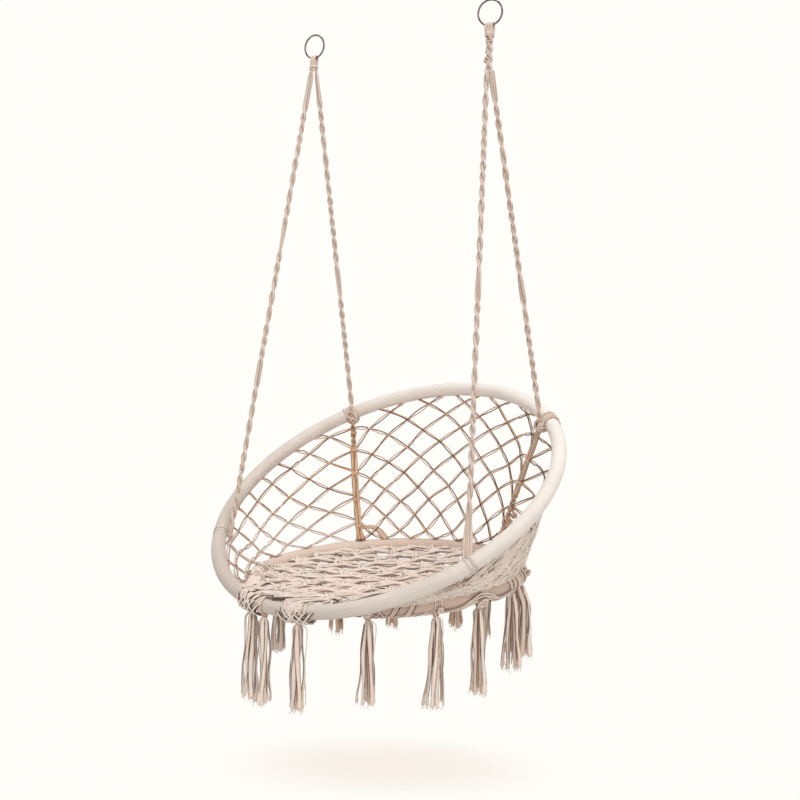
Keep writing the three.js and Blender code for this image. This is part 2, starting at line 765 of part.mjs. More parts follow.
const chair = new THREE.Group();
chair.position.set(0, seatSetback, -hangingHeight);
part.add(chair);
chair.add(placedRing(seatRing, [
  frameTube('seat_ring_tube', seatRing, seatTubeDiameter),
  sleeve('seat_ring_sleeve', seatRing, seatTubeDiameter),
]));
chair.add(placedRing(backRing, [
  frameTube('back_ring_tube', backRing, backTubeDiameter),
  sleeve('back_ring_sleeve', backRing, backTubeDiameter),
]));
for (const [word, side] of [['left', -1], ['right', 1]]) {
  chair.add(hangingLoop(`${word}_hanging_loop`, side));
  chair.add(frontRope(`${word}_front_rope`, side));
  chair.add(backRope(`${word}_back_rope`, side));
  chair.add(frontHitch(`${word}_front_hitch`, side));
  chair.add(backKnot(`${word}_back_knot`, side));
  chair.add(stay(`${word}_back_stay`, side));
  chair.add(stayHitch(`${word}_stay_hitch`, side));
  chair.add(...sidePanels(side));
}
chair.add(...backPanels());
chair.add(seatNet('seat_net'));
chair.add(frontNet('front_net_middle'));
chair.add(...tassels.map(tassel));

export default part;
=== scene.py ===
# Looks of a hanging macrame hammock chair. Metres, +Z up, the sitter faces -Y.
import json
import random
from math import asin, atan2, ceil, cos, floor, pi, radians, sin, sqrt

import bpy
import numpy as np
from mathutils import Matrix, Vector


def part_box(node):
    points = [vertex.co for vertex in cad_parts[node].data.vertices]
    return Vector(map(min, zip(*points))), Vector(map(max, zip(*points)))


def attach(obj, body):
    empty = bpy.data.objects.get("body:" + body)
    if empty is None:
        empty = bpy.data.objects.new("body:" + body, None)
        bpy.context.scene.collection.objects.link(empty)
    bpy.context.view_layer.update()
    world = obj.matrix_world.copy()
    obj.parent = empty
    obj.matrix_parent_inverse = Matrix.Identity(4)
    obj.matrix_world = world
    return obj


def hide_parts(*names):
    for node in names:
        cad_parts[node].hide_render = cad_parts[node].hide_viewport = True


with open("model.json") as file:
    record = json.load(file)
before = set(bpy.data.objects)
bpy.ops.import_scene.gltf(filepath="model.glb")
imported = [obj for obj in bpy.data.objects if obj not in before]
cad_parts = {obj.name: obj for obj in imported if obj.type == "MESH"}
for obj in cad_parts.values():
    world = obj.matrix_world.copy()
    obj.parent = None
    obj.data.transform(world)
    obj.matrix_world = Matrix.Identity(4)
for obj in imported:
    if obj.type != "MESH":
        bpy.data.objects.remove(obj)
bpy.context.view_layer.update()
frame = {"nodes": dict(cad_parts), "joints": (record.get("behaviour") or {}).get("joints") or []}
rng = random.Random(7)
uniform = rng.uniform

# Camera, fitted to the photograph's 800 by 800 frame
IMAGE_WIDTH = 800
SENSOR_MM = 36
FOCAL_PX = 1215.76
CAMERA_PLACE = Vector((1.58525, -2.08869, -0.77619))
AZIMUTH = radians(36.726)
ELEVATION = radians(0.8825)
ROLL = radians(1.187)

# Sizes and angles of the frame, as in the solids
SLEEVE_RADIUS = 0.0155
WIRE_RADIUS = 0.00225
HANGING_RADIUS = 0.026
FRONT_ROPE_ANGLE = radians(59)
BACK_ROPE_ANGLE = radians(134)
LEFT_STAY_FOOT_ANGLE = radians(130)
RIGHT_STAY_FOOT_ANGLE = radians(157)
ROPE_START_SPREAD = 0.0155
KNOT_DEPTH = 0.006
BACK_COLUMNS = 6
BACK_ROWS = 10
SIDE_COLUMNS = 7
FRONT_COLUMNS = 4
FRONT_ROWS = 4
BAND_EDGE = radians(25)
SEAT_DIAMOND = 0.064
SEAT_SAG = 0.022
SEAT_LIFT = 0.005
LEFT, RIGHT = -1, 1
UP = np.array((0.0, 0.0, 1.0))

# Radii of cords, and how finely they are made
NET_CORD = 0.0014
FRONT_CORD = 0.0019
SEAT_CORD = 0.0019
ROPE_CORD = 0.0019
STAY_CORD = 0.0021
STITCH_CORD = 0.0009
HEM_CORD = 0.0025
TONGUE_CORD = 0.0024
GATHER_CORD = 0.0023
FINE_LINE = 0.0006
NET_STEP = 0.006
CORD_SIDES = 8
PLY_PITCH = 0.006

# Colours, as they look under plain light
SLEEVE_COLOUR = (245, 237, 229)
SLEEVE_SHADE = (197, 182, 170)
SEAT_SLEEVE_COLOUR = (226, 205, 190)
SEAT_SLEEVE_SHADE = (196, 171, 153)
CORD_LIGHT = (247, 236, 226)
CORD_MIDDLE = (239, 217, 201)
CORD_DARK = (217, 181, 157)
NET_LIGHT = (254, 224, 194)
NET_MIDDLE = (246, 198, 158)
NET_DARK = (122, 76, 52)
# Painted shade: the dark brown laid on cord flanks, far sides and shade lines
PAINTED_CREVICE_SHADE = (78, 52, 40)
STEEL_COLOUR = (150, 130, 124)
TUBE_COLOUR = (138, 141, 144)
BACKGROUND = (255, 254, 250)


def add_object(name, data):
    thing = bpy.data.objects.new(name, data)
    bpy.context.scene.collection.objects.link(thing)
    return thing


def linear(colour):
    """An sRGB colour of 0 to 255 as linear red, green, blue and alpha."""
    parts = [c / 255 for c in colour]
    return tuple(c / 12.92 if c <= 0.04045 else ((c + 0.055) / 1.055) ** 2.4 for c in parts) + (1,)


def unit(array):
    return array / np.maximum(np.linalg.norm(array, axis=-1, keepdims=True), 1e-12)


def smooth(share):
    share = np.clip(share, 0, 1)
    return share * share * (3 - 2 * share)


def full_turn(count):
    return np.arange(count) * 2 * pi / count


def circle(turns, first, second):
    """Points round a circle, turning from one direction towards another."""
    return np.cos(turns)[:, None] * first + np.sin(turns)[:, None] * second


def square_to(axis):
    """Two directions square to an axis and to each other."""
    first = unit(np.cross(axis, np.eye(3)[np.argmin(np.abs(axis))]))
    return first, np.cross(axis, first)


# Materials


class Nodes:
    """Adds nodes to a material or a world and links them."""

    def __init__(self, owner):
        owner.use_nodes = True
        self.owner = owner
        self.tree = owner.node_tree

    def feed(self, node, links):
        for socket, value in links.items():
            if isinstance(value, bpy.types.NodeSocket):
                self.tree.links.new(value, node.inputs[socket])
            else:
                node.inputs[socket].default_value = value
        return node

    def add(self, kind, links=None, **settings):
        node = self.tree.nodes.new(kind)
        for key, value in settings.items():
            setattr(node, key, value)
        return self.feed(node, links or {})

    def maths(self, operation, a, b=0.0):
        return self.add("ShaderNodeMath", {0: a, 1: b}, operation=operation).outputs[0]

    def total(self, *parts):
        """The sum of values, each times its weight."""
        total, *rest = [self.maths("MULTIPLY", value, weight) for value, weight in parts]
        for term in rest:
            total = self.maths("ADD", total, term)
        return total

    def ramp(self, factor, stops):
        node = self.add("ShaderNodeValToRGB", {"Fac": factor})
        elements = node.color_ramp.elements
        while len(elements) < len(stops):
            elements.new(0.5)
        for element, (place, colour) in zip(elements, stops):
            element.position = place
            element.color = linear(colour)
        return node.outputs["Color"]

    def mix(self, factor, a, b):
        return self.add("ShaderNodeMix", {0: factor, 6: a, 7: b}, data_type="RGBA").outputs[2]

    def attribute(self, name):
        return self.add("ShaderNodeAttribute", attribute_name=name).outputs["Fac"]

    def uv(self):
        """The UV map, and its two parts."""
        uv = self.add("ShaderNodeUVMap", uv_map="UVMap").outputs[0]
        split = self.add("ShaderNodeSeparateXYZ", {0: uv})
        return uv, split.outputs[0], split.outputs[1]

    def place(self):
        return self.add("ShaderNodeTexCoord").outputs["Object"]

    def noise(self, place, scale, detail):
        links = {"Vector": place, "Scale": scale, "Detail": detail}
        return self.add("ShaderNodeTexNoise", links).outputs["Fac"]

    def bump(self, height, strength, distance, before=None):
        links = {"Height": height, "Strength": strength, "Distance": distance}
        if before is not None:
            links["Normal"] = before
        return self.add("ShaderNodeBump", links).outputs["Normal"]

    def shade(self, **values):
        """Feeds the material's shader."""
        links = {name.replace("_", " "): value for name, value in values.items()}
        self.feed(self.tree.nodes["Principled BSDF"], links)
        return self.owner


def cord_material():
    """Twisted cotton: plies wind round each cord. Its points give its tint, how warm it is, and how much
    painted shade darkens it where shade falls between and under cords.
    """
    n = Nodes(bpy.data.materials.new("cotton"))
    _, along, around = n.uv()
    ply = n.maths("MULTIPLY", n.total((along, 1.0), (around, 3.0)), pi)
    ply = n.maths("ABSOLUTE", n.maths("SINE", ply))
    # Painted shade: darker colour in the grooves between plies
    groove_shade = n.maths("SUBTRACT", 1.0, n.maths("POWER", ply, 0.5))
    place = n.place()
    blotch = n.noise(place, 38.0, 3.0)
    fibre = n.noise(place, 1400.0, 2.0)
    mix = n.total((n.attribute("tint"), 0.5), (blotch, 0.35), (groove_shade, 0.3))
    pale = n.ramp(mix, [(0.05, CORD_LIGHT), (0.45, CORD_MIDDLE), (0.95, CORD_DARK)])
    warm = n.ramp(mix, [(0.05, NET_LIGHT), (0.4, NET_MIDDLE), (0.95, NET_DARK)])
    tone = n.mix(n.attribute("warmth"), pale, warm)
    # Painted shade: cords blend towards a dark brown on their flanks, on their far sides and in dark shade
    # lines
    colour = n.mix(n.attribute("painted_shade"), tone, linear(PAINTED_CREVICE_SHADE))
    normal = n.bump(fibre, 0.25, 0.0003, n.bump(ply, 0.5, 0.0005))
    return n.shade(Base_Color=colour, Roughness=0.93, Normal=normal, Sheen_Weight=0.08, Sheen_Roughness=0.6)


def sleeve_material():
    """Knitted polyester stretched over foam."""
    n = Nodes(bpy.data.materials.new("sleeve_fabric"))
    uv, along, around = n.uv()
    stitches = [n.maths("SINE", n.maths("MULTIPLY", part, 2 * pi)) for part in (along, around)]
    knit = n.maths("MULTIPLY", *stitches)
    stretched = n.add("ShaderNodeMapping", {"Vector": uv, "Scale": (0.02, 0.12, 1.0)}).outputs[0]
    streak = n.noise(stretched, 3.0, 4.0)
    cloud = n.noise(n.place(), 9.0, 3.0)
    # The tint value is painted shade along the ring
    mix = n.total((streak, 0.3), (cloud, 0.3), (knit, 0.05), (n.attribute("tint"), 0.6))
    plain = n.ramp(mix, [(0.25, SLEEVE_COLOUR), (0.95, SLEEVE_SHADE)])
    warm = n.ramp(mix, [(0.25, SEAT_SLEEVE_COLOUR), (0.95, SEAT_SLEEVE_SHADE)])
    colour = n.mix(n.attribute("warmth"), plain, warm)
    normal = n.bump(streak, 0.3, 0.002, n.bump(knit, 0.35, 0.0003))
    return n.shade(Base_Color=colour, Roughness=0.72, Normal=normal, Sheen_Weight=0.3, Sheen_Roughness=0.5)


def metal_material(name, colour, roughness, scale):
    n = Nodes(bpy.data.materials.new(name))
    noise = n.noise(n.place(), scale, 4.0)
    tone = n.ramp(noise, [(0.35, [0.72 * c for c in colour]), (0.65, colour)])
    limits = {"Value": noise, "To Min": 0.7 * roughness, "To Max": 1.3 * roughness}
    rough = n.add("ShaderNodeMapRange", limits).outputs[0]
    return n.shade(Base_Color=tone, Metallic=1.0, Roughness=rough, Normal=n.bump(noise, 0.08, 0.0005))


cotton = cord_material()
sleeve_fabric = sleeve_material()
ring_steel = metal_material("ring_steel", STEEL_COLOUR, 0.22, 160.0)
tube_steel = metal_material("tube_steel", TUBE_COLOUR, 0.45, 60.0)


# Meshes. A stop is a point that a cord passes, with the way out of what it lies on.


def corners(grid):
    return [grid[:-1, :-1], grid[:-1, 1:], grid[1:, 1:], grid[1:, :-1]]


class Mesh:
    """Gathers cords and sheets into one object, with a UV map and three values at each point."""

    def __init__(self, warmth=0.0):
        self.warmth = warmth
        self.points, self.faces, self.uvs, self.values = [], [], [], []
        self.count = 0

    def grid(self, points, uvs, values, closed=False):
        """Faces over rows of points that close round. uvs has a row and a column more, which close it."""
        rows, columns = points.shape[:2]
        index = self.count + np.arange(rows * columns).reshape(rows, columns)
        index = np.pad(index, ((0, int(closed)), (0, 1)), "wrap")
        self.faces.append(np.stack(corners(index), -1).reshape(-1, 4))
        self.uvs.append(np.stack(corners(uvs[: len(index)]), -2).reshape(-1, 2))
        self.points.append(points.reshape(-1, 3))
        self.values.append(np.broadcast_to(values, (rows, columns, 3)).reshape(-1, 3))
        self.count += rows * columns

    def tube(
        self, path, radius, sides=CORD_SIDES, normals=None, closed=False,
        tint=None, flank_shade=0.0, warmth=None, flat=1.0, under=0.0, crease=0.0,
    ):
        """A cord along a path, its ends drawn in. It takes painted shade on its flanks, on its far side from
        its normals, or over all of it, and flat thins it along its normals."""
        path = np.asarray(path, float)
        normal, side = frames(path, normals, closed)
        radius = np.broadcast_to(np.asarray(radius, float), len(path)).copy()
        if not closed:
            radius[[0, -1]] *= 0.35
        turn = full_turn(sides)
        c, s = np.cos(turn)[:, None], np.sin(turn)[:, None]
        ring = side[:, None] * c + flat * normal[:, None] * s
        steps = np.linalg.norm(np.diff(path, axis=0, append=path[:1]), axis=1)
        u = np.concatenate([[0], np.cumsum(steps)]) / PLY_PITCH + rng.random()
        v = np.arange(sides + 1) / sides
        uvs = np.stack(np.broadcast_arrays(u[:, None], v[None, :]), -1)
        # Painted shade on the flanks, on the far side, or over whole cords, where shade would fall between
        # and under cords
        flanks = flank_shade * np.abs(np.cos(turn)) ** 2.5
        far_side_shade = under * np.clip(0.12 - np.sin(turn), 0, 1) ** 0.6
        painted_shade = np.maximum(np.maximum(flanks, far_side_shade), crease)
        tint = rng.random() if tint is None else tint
        warmth = np.broadcast_to(self.warmth if warmth is None else warmth, len(path))
        values = np.stack(np.broadcast_arrays(tint, painted_shade[None, :], warmth[:, None]), -1)
        self.grid(path[:, None] + radius[:, None, None] * ring, uvs, values, closed)

    def loop(self, path, centre, radius, tint, flank_shade):
        """A closed cord round a centre."""
        self.tube(path, radius, normals=unit(path - centre), closed=True, tint=tint, flank_shade=flank_shade)

    def object(self, name, material, body, slot, replaces=()):
        mesh = bpy.data.meshes.new(name)
        mesh.from_pydata(np.concatenate(self.points), [], np.concatenate(self.faces), shade_flat=False)
        mesh.uv_layers.new(name="UVMap").data.foreach_set("uv", np.concatenate(self.uvs).ravel())
        values = np.concatenate(self.values)
        for i, value in enumerate(("tint", "painted_shade", "warmth")):
            mesh.attributes.new(value, "FLOAT", "POINT").data.foreach_set("value", values[:, i].copy())
        mesh.validate()
        mesh.materials.append(material)
        piece = add_object(name, mesh)
        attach(piece, body)
        if replaces:
            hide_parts(*replaces)
        return piece

    def cords(self, name, replaces=(), body="chair"):
        self.object(name, cotton, body, "cord", replaces)


def frames(path, normals=None, closed=False):
    """Normals and sides along a path. The normals given may be one for all."""
    if closed:
        tangent = unit(np.roll(path, -1, 0) - np.roll(path, 1, 0))
    else:
        tangent = unit(np.gradient(path, axis=0))
    if normals is None:
        seed = np.eye(3)[np.argmin(np.abs(tangent[0]))]
        normals = np.empty_like(path)
        for i, heading in enumerate(tangent):
            seed = seed - heading * (seed @ heading)
            seed = seed / np.linalg.norm(seed)
            normals[i] = seed
    normal = unit(normals - tangent * np.sum(normals * tangent, 1, keepdims=True))
    return normal, np.cross(tangent, normal)


def span_counts(points, step):
    return [max(2, ceil(np.linalg.norm(b - a) / step)) for a, b in zip(points, points[1:])]


def spline(points, step, counts=None):
    """A smooth path through points, and how many spans each of its points has come."""
    p = np.asarray(points, float)
    counts = counts or span_counts(p, step)
    p = np.vstack([2 * p[0] - p[1], p, 2 * p[-1] - p[-2]])
    paths, spans = [], []
    for i, count in enumerate(counts):
        a, b, c, d = p[i : i + 4]
        t = (np.arange(count) / count)[:, None]
        curve = 2 * b + (c - a) * t + (2 * a - 5 * b + 4 * c - d) * t**2 + (3 * b - a - 3 * c + d) * t**3
        paths.append(0.5 * curve)
        spans.append(i + t[:, 0])
    return np.vstack(paths + [p[-2:-1]]), np.concatenate(spans + [[float(len(counts))]])


def fair(stops, step):
    """A smooth path through stops, its normals, and how many spans each of its points has come."""
    points, normals = zip(*stops)
    path, span = spline(points, step)
    return path, spline(normals, step, span_counts(points, step))[0], span


def straight(a, b, step=0.005):
    share = np.linspace(0, 1, max(3, int(np.linalg.norm(b - a) / step)))[:, None]
    return a + (b - a) * share


def lengths(path):
    return np.concatenate([[0], np.cumsum(np.linalg.norm(np.diff(path, axis=0), axis=1))])


def lanes(count, pitch):
    return [(i - (count - 1) / 2) * pitch for i in range(count)]


def laid(mesh, path, normals, places, radius, sway, tint, flank_shade, under=0.0):
    """Cords side by side along a path, each a little restless."""
    normal, side = frames(path, normals)
    length = lengths(path)
    for lane in places:
        roam = sway * np.sin(length * (60 + 50 * rng.random()) + 6 * rng.random())
        hop = 0.6 * sway * np.sin(length * (50 + 50 * rng.random()) + 6 * rng.random())
        cord = path + (lane + roam)[:, None] * side + hop[:, None] * normal
        mesh.tube(cord, radius, normals=normal, tint=uniform(*tint), flank_shade=flank_shade, under=under)


def twisted(mesh, path, turns, strands=2, cords=3, reach=0.0030, radius=ROPE_CORD, still=(), tint=(0.0, 0.7)):
    """Strands of a few cords wound together, turns times a metre. They lie still near the shares given."""
    normal, side = frames(path)
    length = lengths(path)
    share = length / length[-1]
    rate = turns * (1 + 0.25 * np.sin(length * 23 + 6 * rng.random()))
    for place, width in still:
        rate = rate * (1 - 0.93 * np.exp(-(((share - place) / width) ** 4)))
    angle = 2 * pi * np.cumsum(rate * np.gradient(length)) + 6 * rng.random()
    for strand in range(strands):
        out = circle(angle + 2 * pi * strand / strands, side, normal)
        middle = path + reach * (1 + 0.08 * np.sin(length * 70 + strand))[:, None] * out
        for cord in range(cords):
            within = circle(-0.6 * angle + 2 * pi * cord / cords + strand, side, normal)
            line = middle + 0.95 * radius * within
            mesh.tube(line, radius, normals=unit(line - path), tint=uniform(*tint), flank_shade=0.42)


def shade_slits(mesh, path, normals, places, radius):
    """Short dark cords deep between the others, painted shade in the gaps."""
    normal, side = frames(path, normals)
    for lane in places:
        first = rng.randrange(max(1, len(path) - 6))
        part = slice(first, first + rng.randint(5, 12))
        if len(path[part]) > 3:
            mesh.tube((path + lane * side)[part], radius, sides=6, normals=normal[part], crease=0.95)


def strand(mesh, stops, count, radius, tint, flank_shade, sway=0.5, under=0.0):
    """A few cords side by side through stops, with short dark cords of painted shade on both flanks."""
    path, facing, _ = fair(stops, 0.005)
    laid(mesh, path, facing, lanes(count, 2 * radius), radius, sway * radius, tint, flank_shade, under)
    flanks = [way * (count + 0.3) * radius for way in (-1, 1)]
    shade_slits(mesh, path + 0.6 * radius * facing, facing, flanks, 0.5 * radius)


def ball_knot(mesh, centre, radius, loops, cord, tint=(0.0, 1.0), flank_shade=0.6):
    """A knot of loops wound round one place."""
    turn = full_turn(18)
    for _ in range(loops):
        axis = unit(np.array([rng.gauss(0, 1) for _ in range(3)]))
        first, second = square_to(axis)
        reach = radius - cord - uniform(0, 0.35) * radius
        wave = 1 + 0.1 * np.sin(2 * turn + 6 * rng.random())
        loop = centre + reach * wave[:, None] * circle(turn, first, second)
        loop = loop + uniform(-0.35, 0.35) * radius * axis
        mesh.loop(loop, centre, cord, uniform(*tint), flank_shade)


def tie(mesh, centre, axis, radius, turns, cord, tint=None, flat=0.8):
    """Turns of cord bound round a bundle."""
    first, second = square_to(axis)
    for place in lanes(turns, 2 * cord):
        loop = centre + place * axis + radius * circle(full_turn(16), first, flat * second)
        mesh.loop(loop, centre, cord, rng.random() if tint is None else tint, 0.3)


# The two frame rings


class Ring:
    """A frame ring. Angles along it count from its front, towards +X. Turns round its
    sleeve count from outermost, and a quarter turn is on top."""

    def __init__(self, node):
        low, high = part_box(node)
        self.centre = np.array((low + high) / 2)
        self.radius = (high.x - low.x) / 2 - SLEEVE_RADIUS
        self.tilt = asin(((high.z - low.z) / 2 - SLEEVE_RADIUS) / self.radius)
        self.axis = np.array((0, -sin(self.tilt), cos(self.tilt)))

    def outward(self, angle):
        c = cos(angle)
        return np.array((sin(angle), -c * cos(self.tilt), -c * sin(self.tilt)))

    def tangent(self, angle):
        s = sin(angle)
        return np.array((cos(angle), s * cos(self.tilt), s * sin(self.tilt)))

    def point(self, angle):
        return self.centre + self.radius * self.outward(angle)

    def facing(self, angle, turn):
        return cos(turn) * self.outward(angle) + sin(turn) * self.axis

    def on_sleeve(self, angle, turn, gap=0.0):
        return self.point(angle) + (SLEEVE_RADIUS + gap) * self.facing(angle, turn)

    def stops(self, angles, turns, gaps):
        """Stops on the sleeve, with turns in degrees."""
        places = zip(*np.broadcast_arrays(angles, np.radians(turns), gaps))
        return [(self.on_sleeve(angle, turn, gap), self.facing(angle, turn)) for angle, turn, gap in places]

    def nearest(self, place):
        """The angle nearest a place, and its distance."""
        away = place - self.centre
        across = away - self.axis * (away @ self.axis)
        angle = atan2(across[0], across @ self.outward(0))
        return angle, np.linalg.norm(self.point(angle) - place)

    def wrap(
        self, mesh, angle, radius, lean=0.0, start=0, end=360,
        tint=None, flank_shade=0.45, pinch=0.0, crease=0.0, lift=0.0,
    ):
        """A cord round the sleeve from one turn in degrees to another. It moves lean
        along the ring as it goes, and rises by lift between its ends."""
        start, end = radians(start), radians(end)
        steps = max(8, int(abs(end - start) * 4))
        turns = np.linspace(start, end, steps)
        angles = angle + np.linspace(-0.5, 0.5, steps) * lean / self.radius
        gaps = 0.8 * radius - pinch + lift * np.sqrt(np.sin(pi * np.linspace(0, 1, steps)).clip(0))
        path = [self.on_sleeve(a, t, gap) for a, t, gap in zip(angles, turns, gaps)]
        normals = np.array([self.facing(a, t) for a, t in zip(angles, turns)])
        mesh.tube(path, radius, normals=normals, tint=tint, flank_shade=flank_shade, crease=crease)


seat_ring = Ring("seat_ring_sleeve")
back_ring = Ring("back_ring_sleeve")

SLEEVE_SEGMENTS = 360
SLEEVE_SIDES = 28
SLEEVE_FOLDS = 14
FOLD_DEPTH = 0.0007
PINCH_DEPTH = 0.0018
PINCH_WIDTH = 0.009
GATHER_WIDTH = 0.022
KNIT_PITCH = 0.0016


def sleeve(name, ring, hitches, painted_shade_angle):
    """A padded sleeve with long shallow folds, drawn in at its hitches, with painted shade darkest at one
    angle.
    """
    mesh = Mesh()
    angles, turns = full_turn(SLEEVE_SEGMENTS), full_turn(SLEEVE_SIDES)
    depth = np.zeros((SLEEVE_SEGMENTS, SLEEVE_SIDES))
    for _ in range(SLEEVE_FOLDS):
        around, across = rng.randint(5, 34), rng.randint(1, 4)
        wave = np.sin(around * angles[:, None] + across * turns[None, :] + 6 * rng.random())
        depth += FOLD_DEPTH / 7 * rng.random() * wave
    for hitch in hitches:
        away = np.abs((angles - hitch + pi) % (2 * pi) - pi) * ring.radius
        near = np.exp(-((away / PINCH_WIDTH) ** 2))[:, None]
        folds = np.exp(-((away / GATHER_WIDTH) ** 2))[:, None] * np.sin(8 * turns[None, :] + 5 * hitch)
        depth += 0.6 * FOLD_DEPTH * folds - PINCH_DEPTH * near
    rows = zip(angles, depth[:, ::-1])
    points = np.array([[ring.on_sleeve(a, t, gap) for t, gap in zip(turns[::-1], gaps)] for a, gaps in rows])
    u = np.arange(SLEEVE_SEGMENTS + 1) / SLEEVE_SEGMENTS * round(2 * pi * ring.radius / KNIT_PITCH)
    v = np.arange(SLEEVE_SIDES + 1) / SLEEVE_SIDES * round(2 * pi * SLEEVE_RADIUS / KNIT_PITCH)
    uvs = np.stack(np.broadcast_arrays(u[:, None], v[None, :]), -1)
    values = np.zeros((SLEEVE_SEGMENTS, SLEEVE_SIDES, 3))
    # Painted shade: the tint darkens the sleeve towards one angle round the ring
    values[:, :, 0] = 0.5 + 0.5 * np.cos(angles - painted_shade_angle)[:, None]
    values[:, :, 2] = 1.0 if ring is seat_ring else 0.0
    mesh.grid(points, uvs, values, closed=True)
    cover = mesh.object(name, sleeve_fabric, "chair", "sleeve_fabric", [f"{name}_sleeve"])


# The surface between the two rings, by an angle round them and a share of the
# way from the back ring to the seat ring


def surface(angle, share):
    return (1 - share) * back_ring.point(angle) + share * seat_ring.point(angle)


def surface_normal(angle, share):
    step = radians(1)
    across = surface(angle + step, share) - surface(angle - step, share)
    return unit(np.cross(across, surface(angle, 1) - surface(angle, 0)))


def on_surface(angle, share, out=0.0):
    """A stop on the surface, or a little outside it."""
    return surface(angle, share) + out * back_ring.outward(angle), surface_normal(angle, share)


def row_share(row):
    return 0.08 + 0.0825 * row + 0.001 * row * row


def foot_angle(side):
    return -LEFT_STAY_FOOT_ANGLE if side < 0 else RIGHT_STAY_FOOT_ANGLE


def stay_angle(side, share):
    return side * BACK_ROPE_ANGLE + (foot_angle(side) - side * BACK_ROPE_ANGLE) * min(share, 1)


def knot_centre(side):
    angle = side * BACK_ROPE_ANGLE
    return back_ring.point(angle) - (SLEEVE_RADIUS + KNOT_DEPTH) * back_ring.outward(angle)


def stay_point(side, share):
    return (1 - share) * knot_centre(side) + share * seat_ring.point(foot_angle(side))


def on_stay(side, share):
    return stay_point(side, share), surface_normal(stay_angle(side, share), share)


# Nets

PALE_HEIGHT = -1.16
PALE_FADE = 0.1
NET_SLACK = 0.003
SINK = -0.001
OVER_SLEEVE = (100, 55, 10, -40, -80)
INTO_SLEEVE = (75, 110, 150, 185)


class Net:
    """Lines of two cords that cross at shared points, each point a little off its place."""

    def __init__(self, fades=False):
        self.mesh = Mesh(1.0)
        self.offsets = {}
        self.fades = fades

    def place(self, angle, share):
        key = (round(angle, 4), round(share, 4))
        if key not in self.offsets:
            slack = NET_SLACK if 0.02 < share < 0.98 else 0.0
            self.offsets[key] = np.array([uniform(-slack, slack) for _ in range(3)])
        return surface(angle, share) + self.offsets[key], surface_normal(angle, share)

    def line(self, stops, over, radius=NET_CORD):
        """Where lines cross, the cords of one open and those of the other pass between them."""
        path, normals, span = fair(stops, NET_STEP)
        normal, side = frames(path, normals)
        near = np.clip(1 - 2 * np.abs((span + 0.5) % 1 - 0.5) / 0.3, 0, 1) ** 0.7
        whole = np.minimum(span.astype(int), len(stops) - 2)
        bulge = np.array([uniform(0.0, 1.0) for _ in stops])[whole] * np.sin(pi * (span % 1)) ** 2
        flips = np.array([rng.choice((0, 0, 1)) for _ in stops])
        done = np.concatenate([[0], np.cumsum(flips)])
        swap = pi * (done[whole] + flips[whole] * smooth(1.7 * (span - whole) - 0.35))
        turn = 0.5 * pi * near if over else swap
        warmth = smooth((path[:, 2] - PALE_HEIGHT) / PALE_FADE) if self.fades else None
        # Painted shade: one cord of each pair is tinted dark brown, as on its shadow side
        dark = rng.choice((-1, 1))
        for way in (-1, 1):
            gap = way * radius * (1.1 + bulge)
            lift = way * 2.1 * radius
            offset = (gap * np.cos(turn))[:, None] * side + (lift * np.sin(turn))[:, None] * normal
            restless = 0.0006 * np.sin(span * 5 + 6 * rng.random())[:, None] * side
            tint = uniform(1.0, 1.6) if way == dark else uniform(-0.2, 0.35)
            cord = path + offset + restless
            self.mesh.tube(cord, radius, normals=normal, tint=tint, flank_shade=0.8, warmth=warmth)

    def leave(self, angle, turn, below, share, count, width=0.015):
        """Short cords that leave the back ring side by side and run together, and their line's first stop."""
        start, along = back_ring.on_sleeve(angle, radians(turn), SINK), back_ring.tangent(angle)
        target = (1 - share) * start + share * below
        for lane in lanes(count, width / count):
            mid = 0.5 * (start + target) + 0.25 * lane * along
            path, _ = spline([start + lane * along, mid, target], 0.004)
            self.mesh.tube(path, 1.1 * NET_CORD, flank_shade=0.3)
        return start, surface_normal(angle, 0)


def seat_end(angle, turns, lean=0.02):
    """The last stops of a line, which goes round the seat ring's sleeve and leans along it."""
    gone = abs(np.subtract(turns, turns[0]))
    return seat_ring.stops(angle - lean * gone / gone[-1], turns, NET_CORD)


def back_net():
    net = Net()

    def angle_at(column, share):
        left = 2 * pi + stay_angle(LEFT, share)
        right = stay_angle(RIGHT, share)
        return left + (right - left) * column / BACK_COLUMNS

    def stop(column, row):
        share = min(row_share(row), 1)
        if column in (0, BACK_COLUMNS):
            return on_stay(LEFT if column == 0 else RIGHT, share)
        return net.place(angle_at(column, share), share)

    starts = [(column, 0) for column in range(1, BACK_COLUMNS)]
    for way in (1, -1):
        first = 0 if way > 0 else BACK_COLUMNS
        for column, row in starts + [(first, row) for row in range(0, BACK_ROWS, 2)]:
            stops = []
            if column != first:
                angle, below = angle_at(column - way / 3, 0), stop(column, 0)[0]
                stops.append(net.leave(angle, -140, below, 0.25, 3, 0.010))
            while row <= BACK_ROWS and 0 <= column <= BACK_COLUMNS:
                if row == BACK_ROWS:
                    stops += seat_end(angle_at(column, 1), OVER_SLEEVE)
                else:
                    stops.append(stop(column, row))
                column, row = column + way / 2, row + 1
            net.line(stops, over=way > 0)
    return net


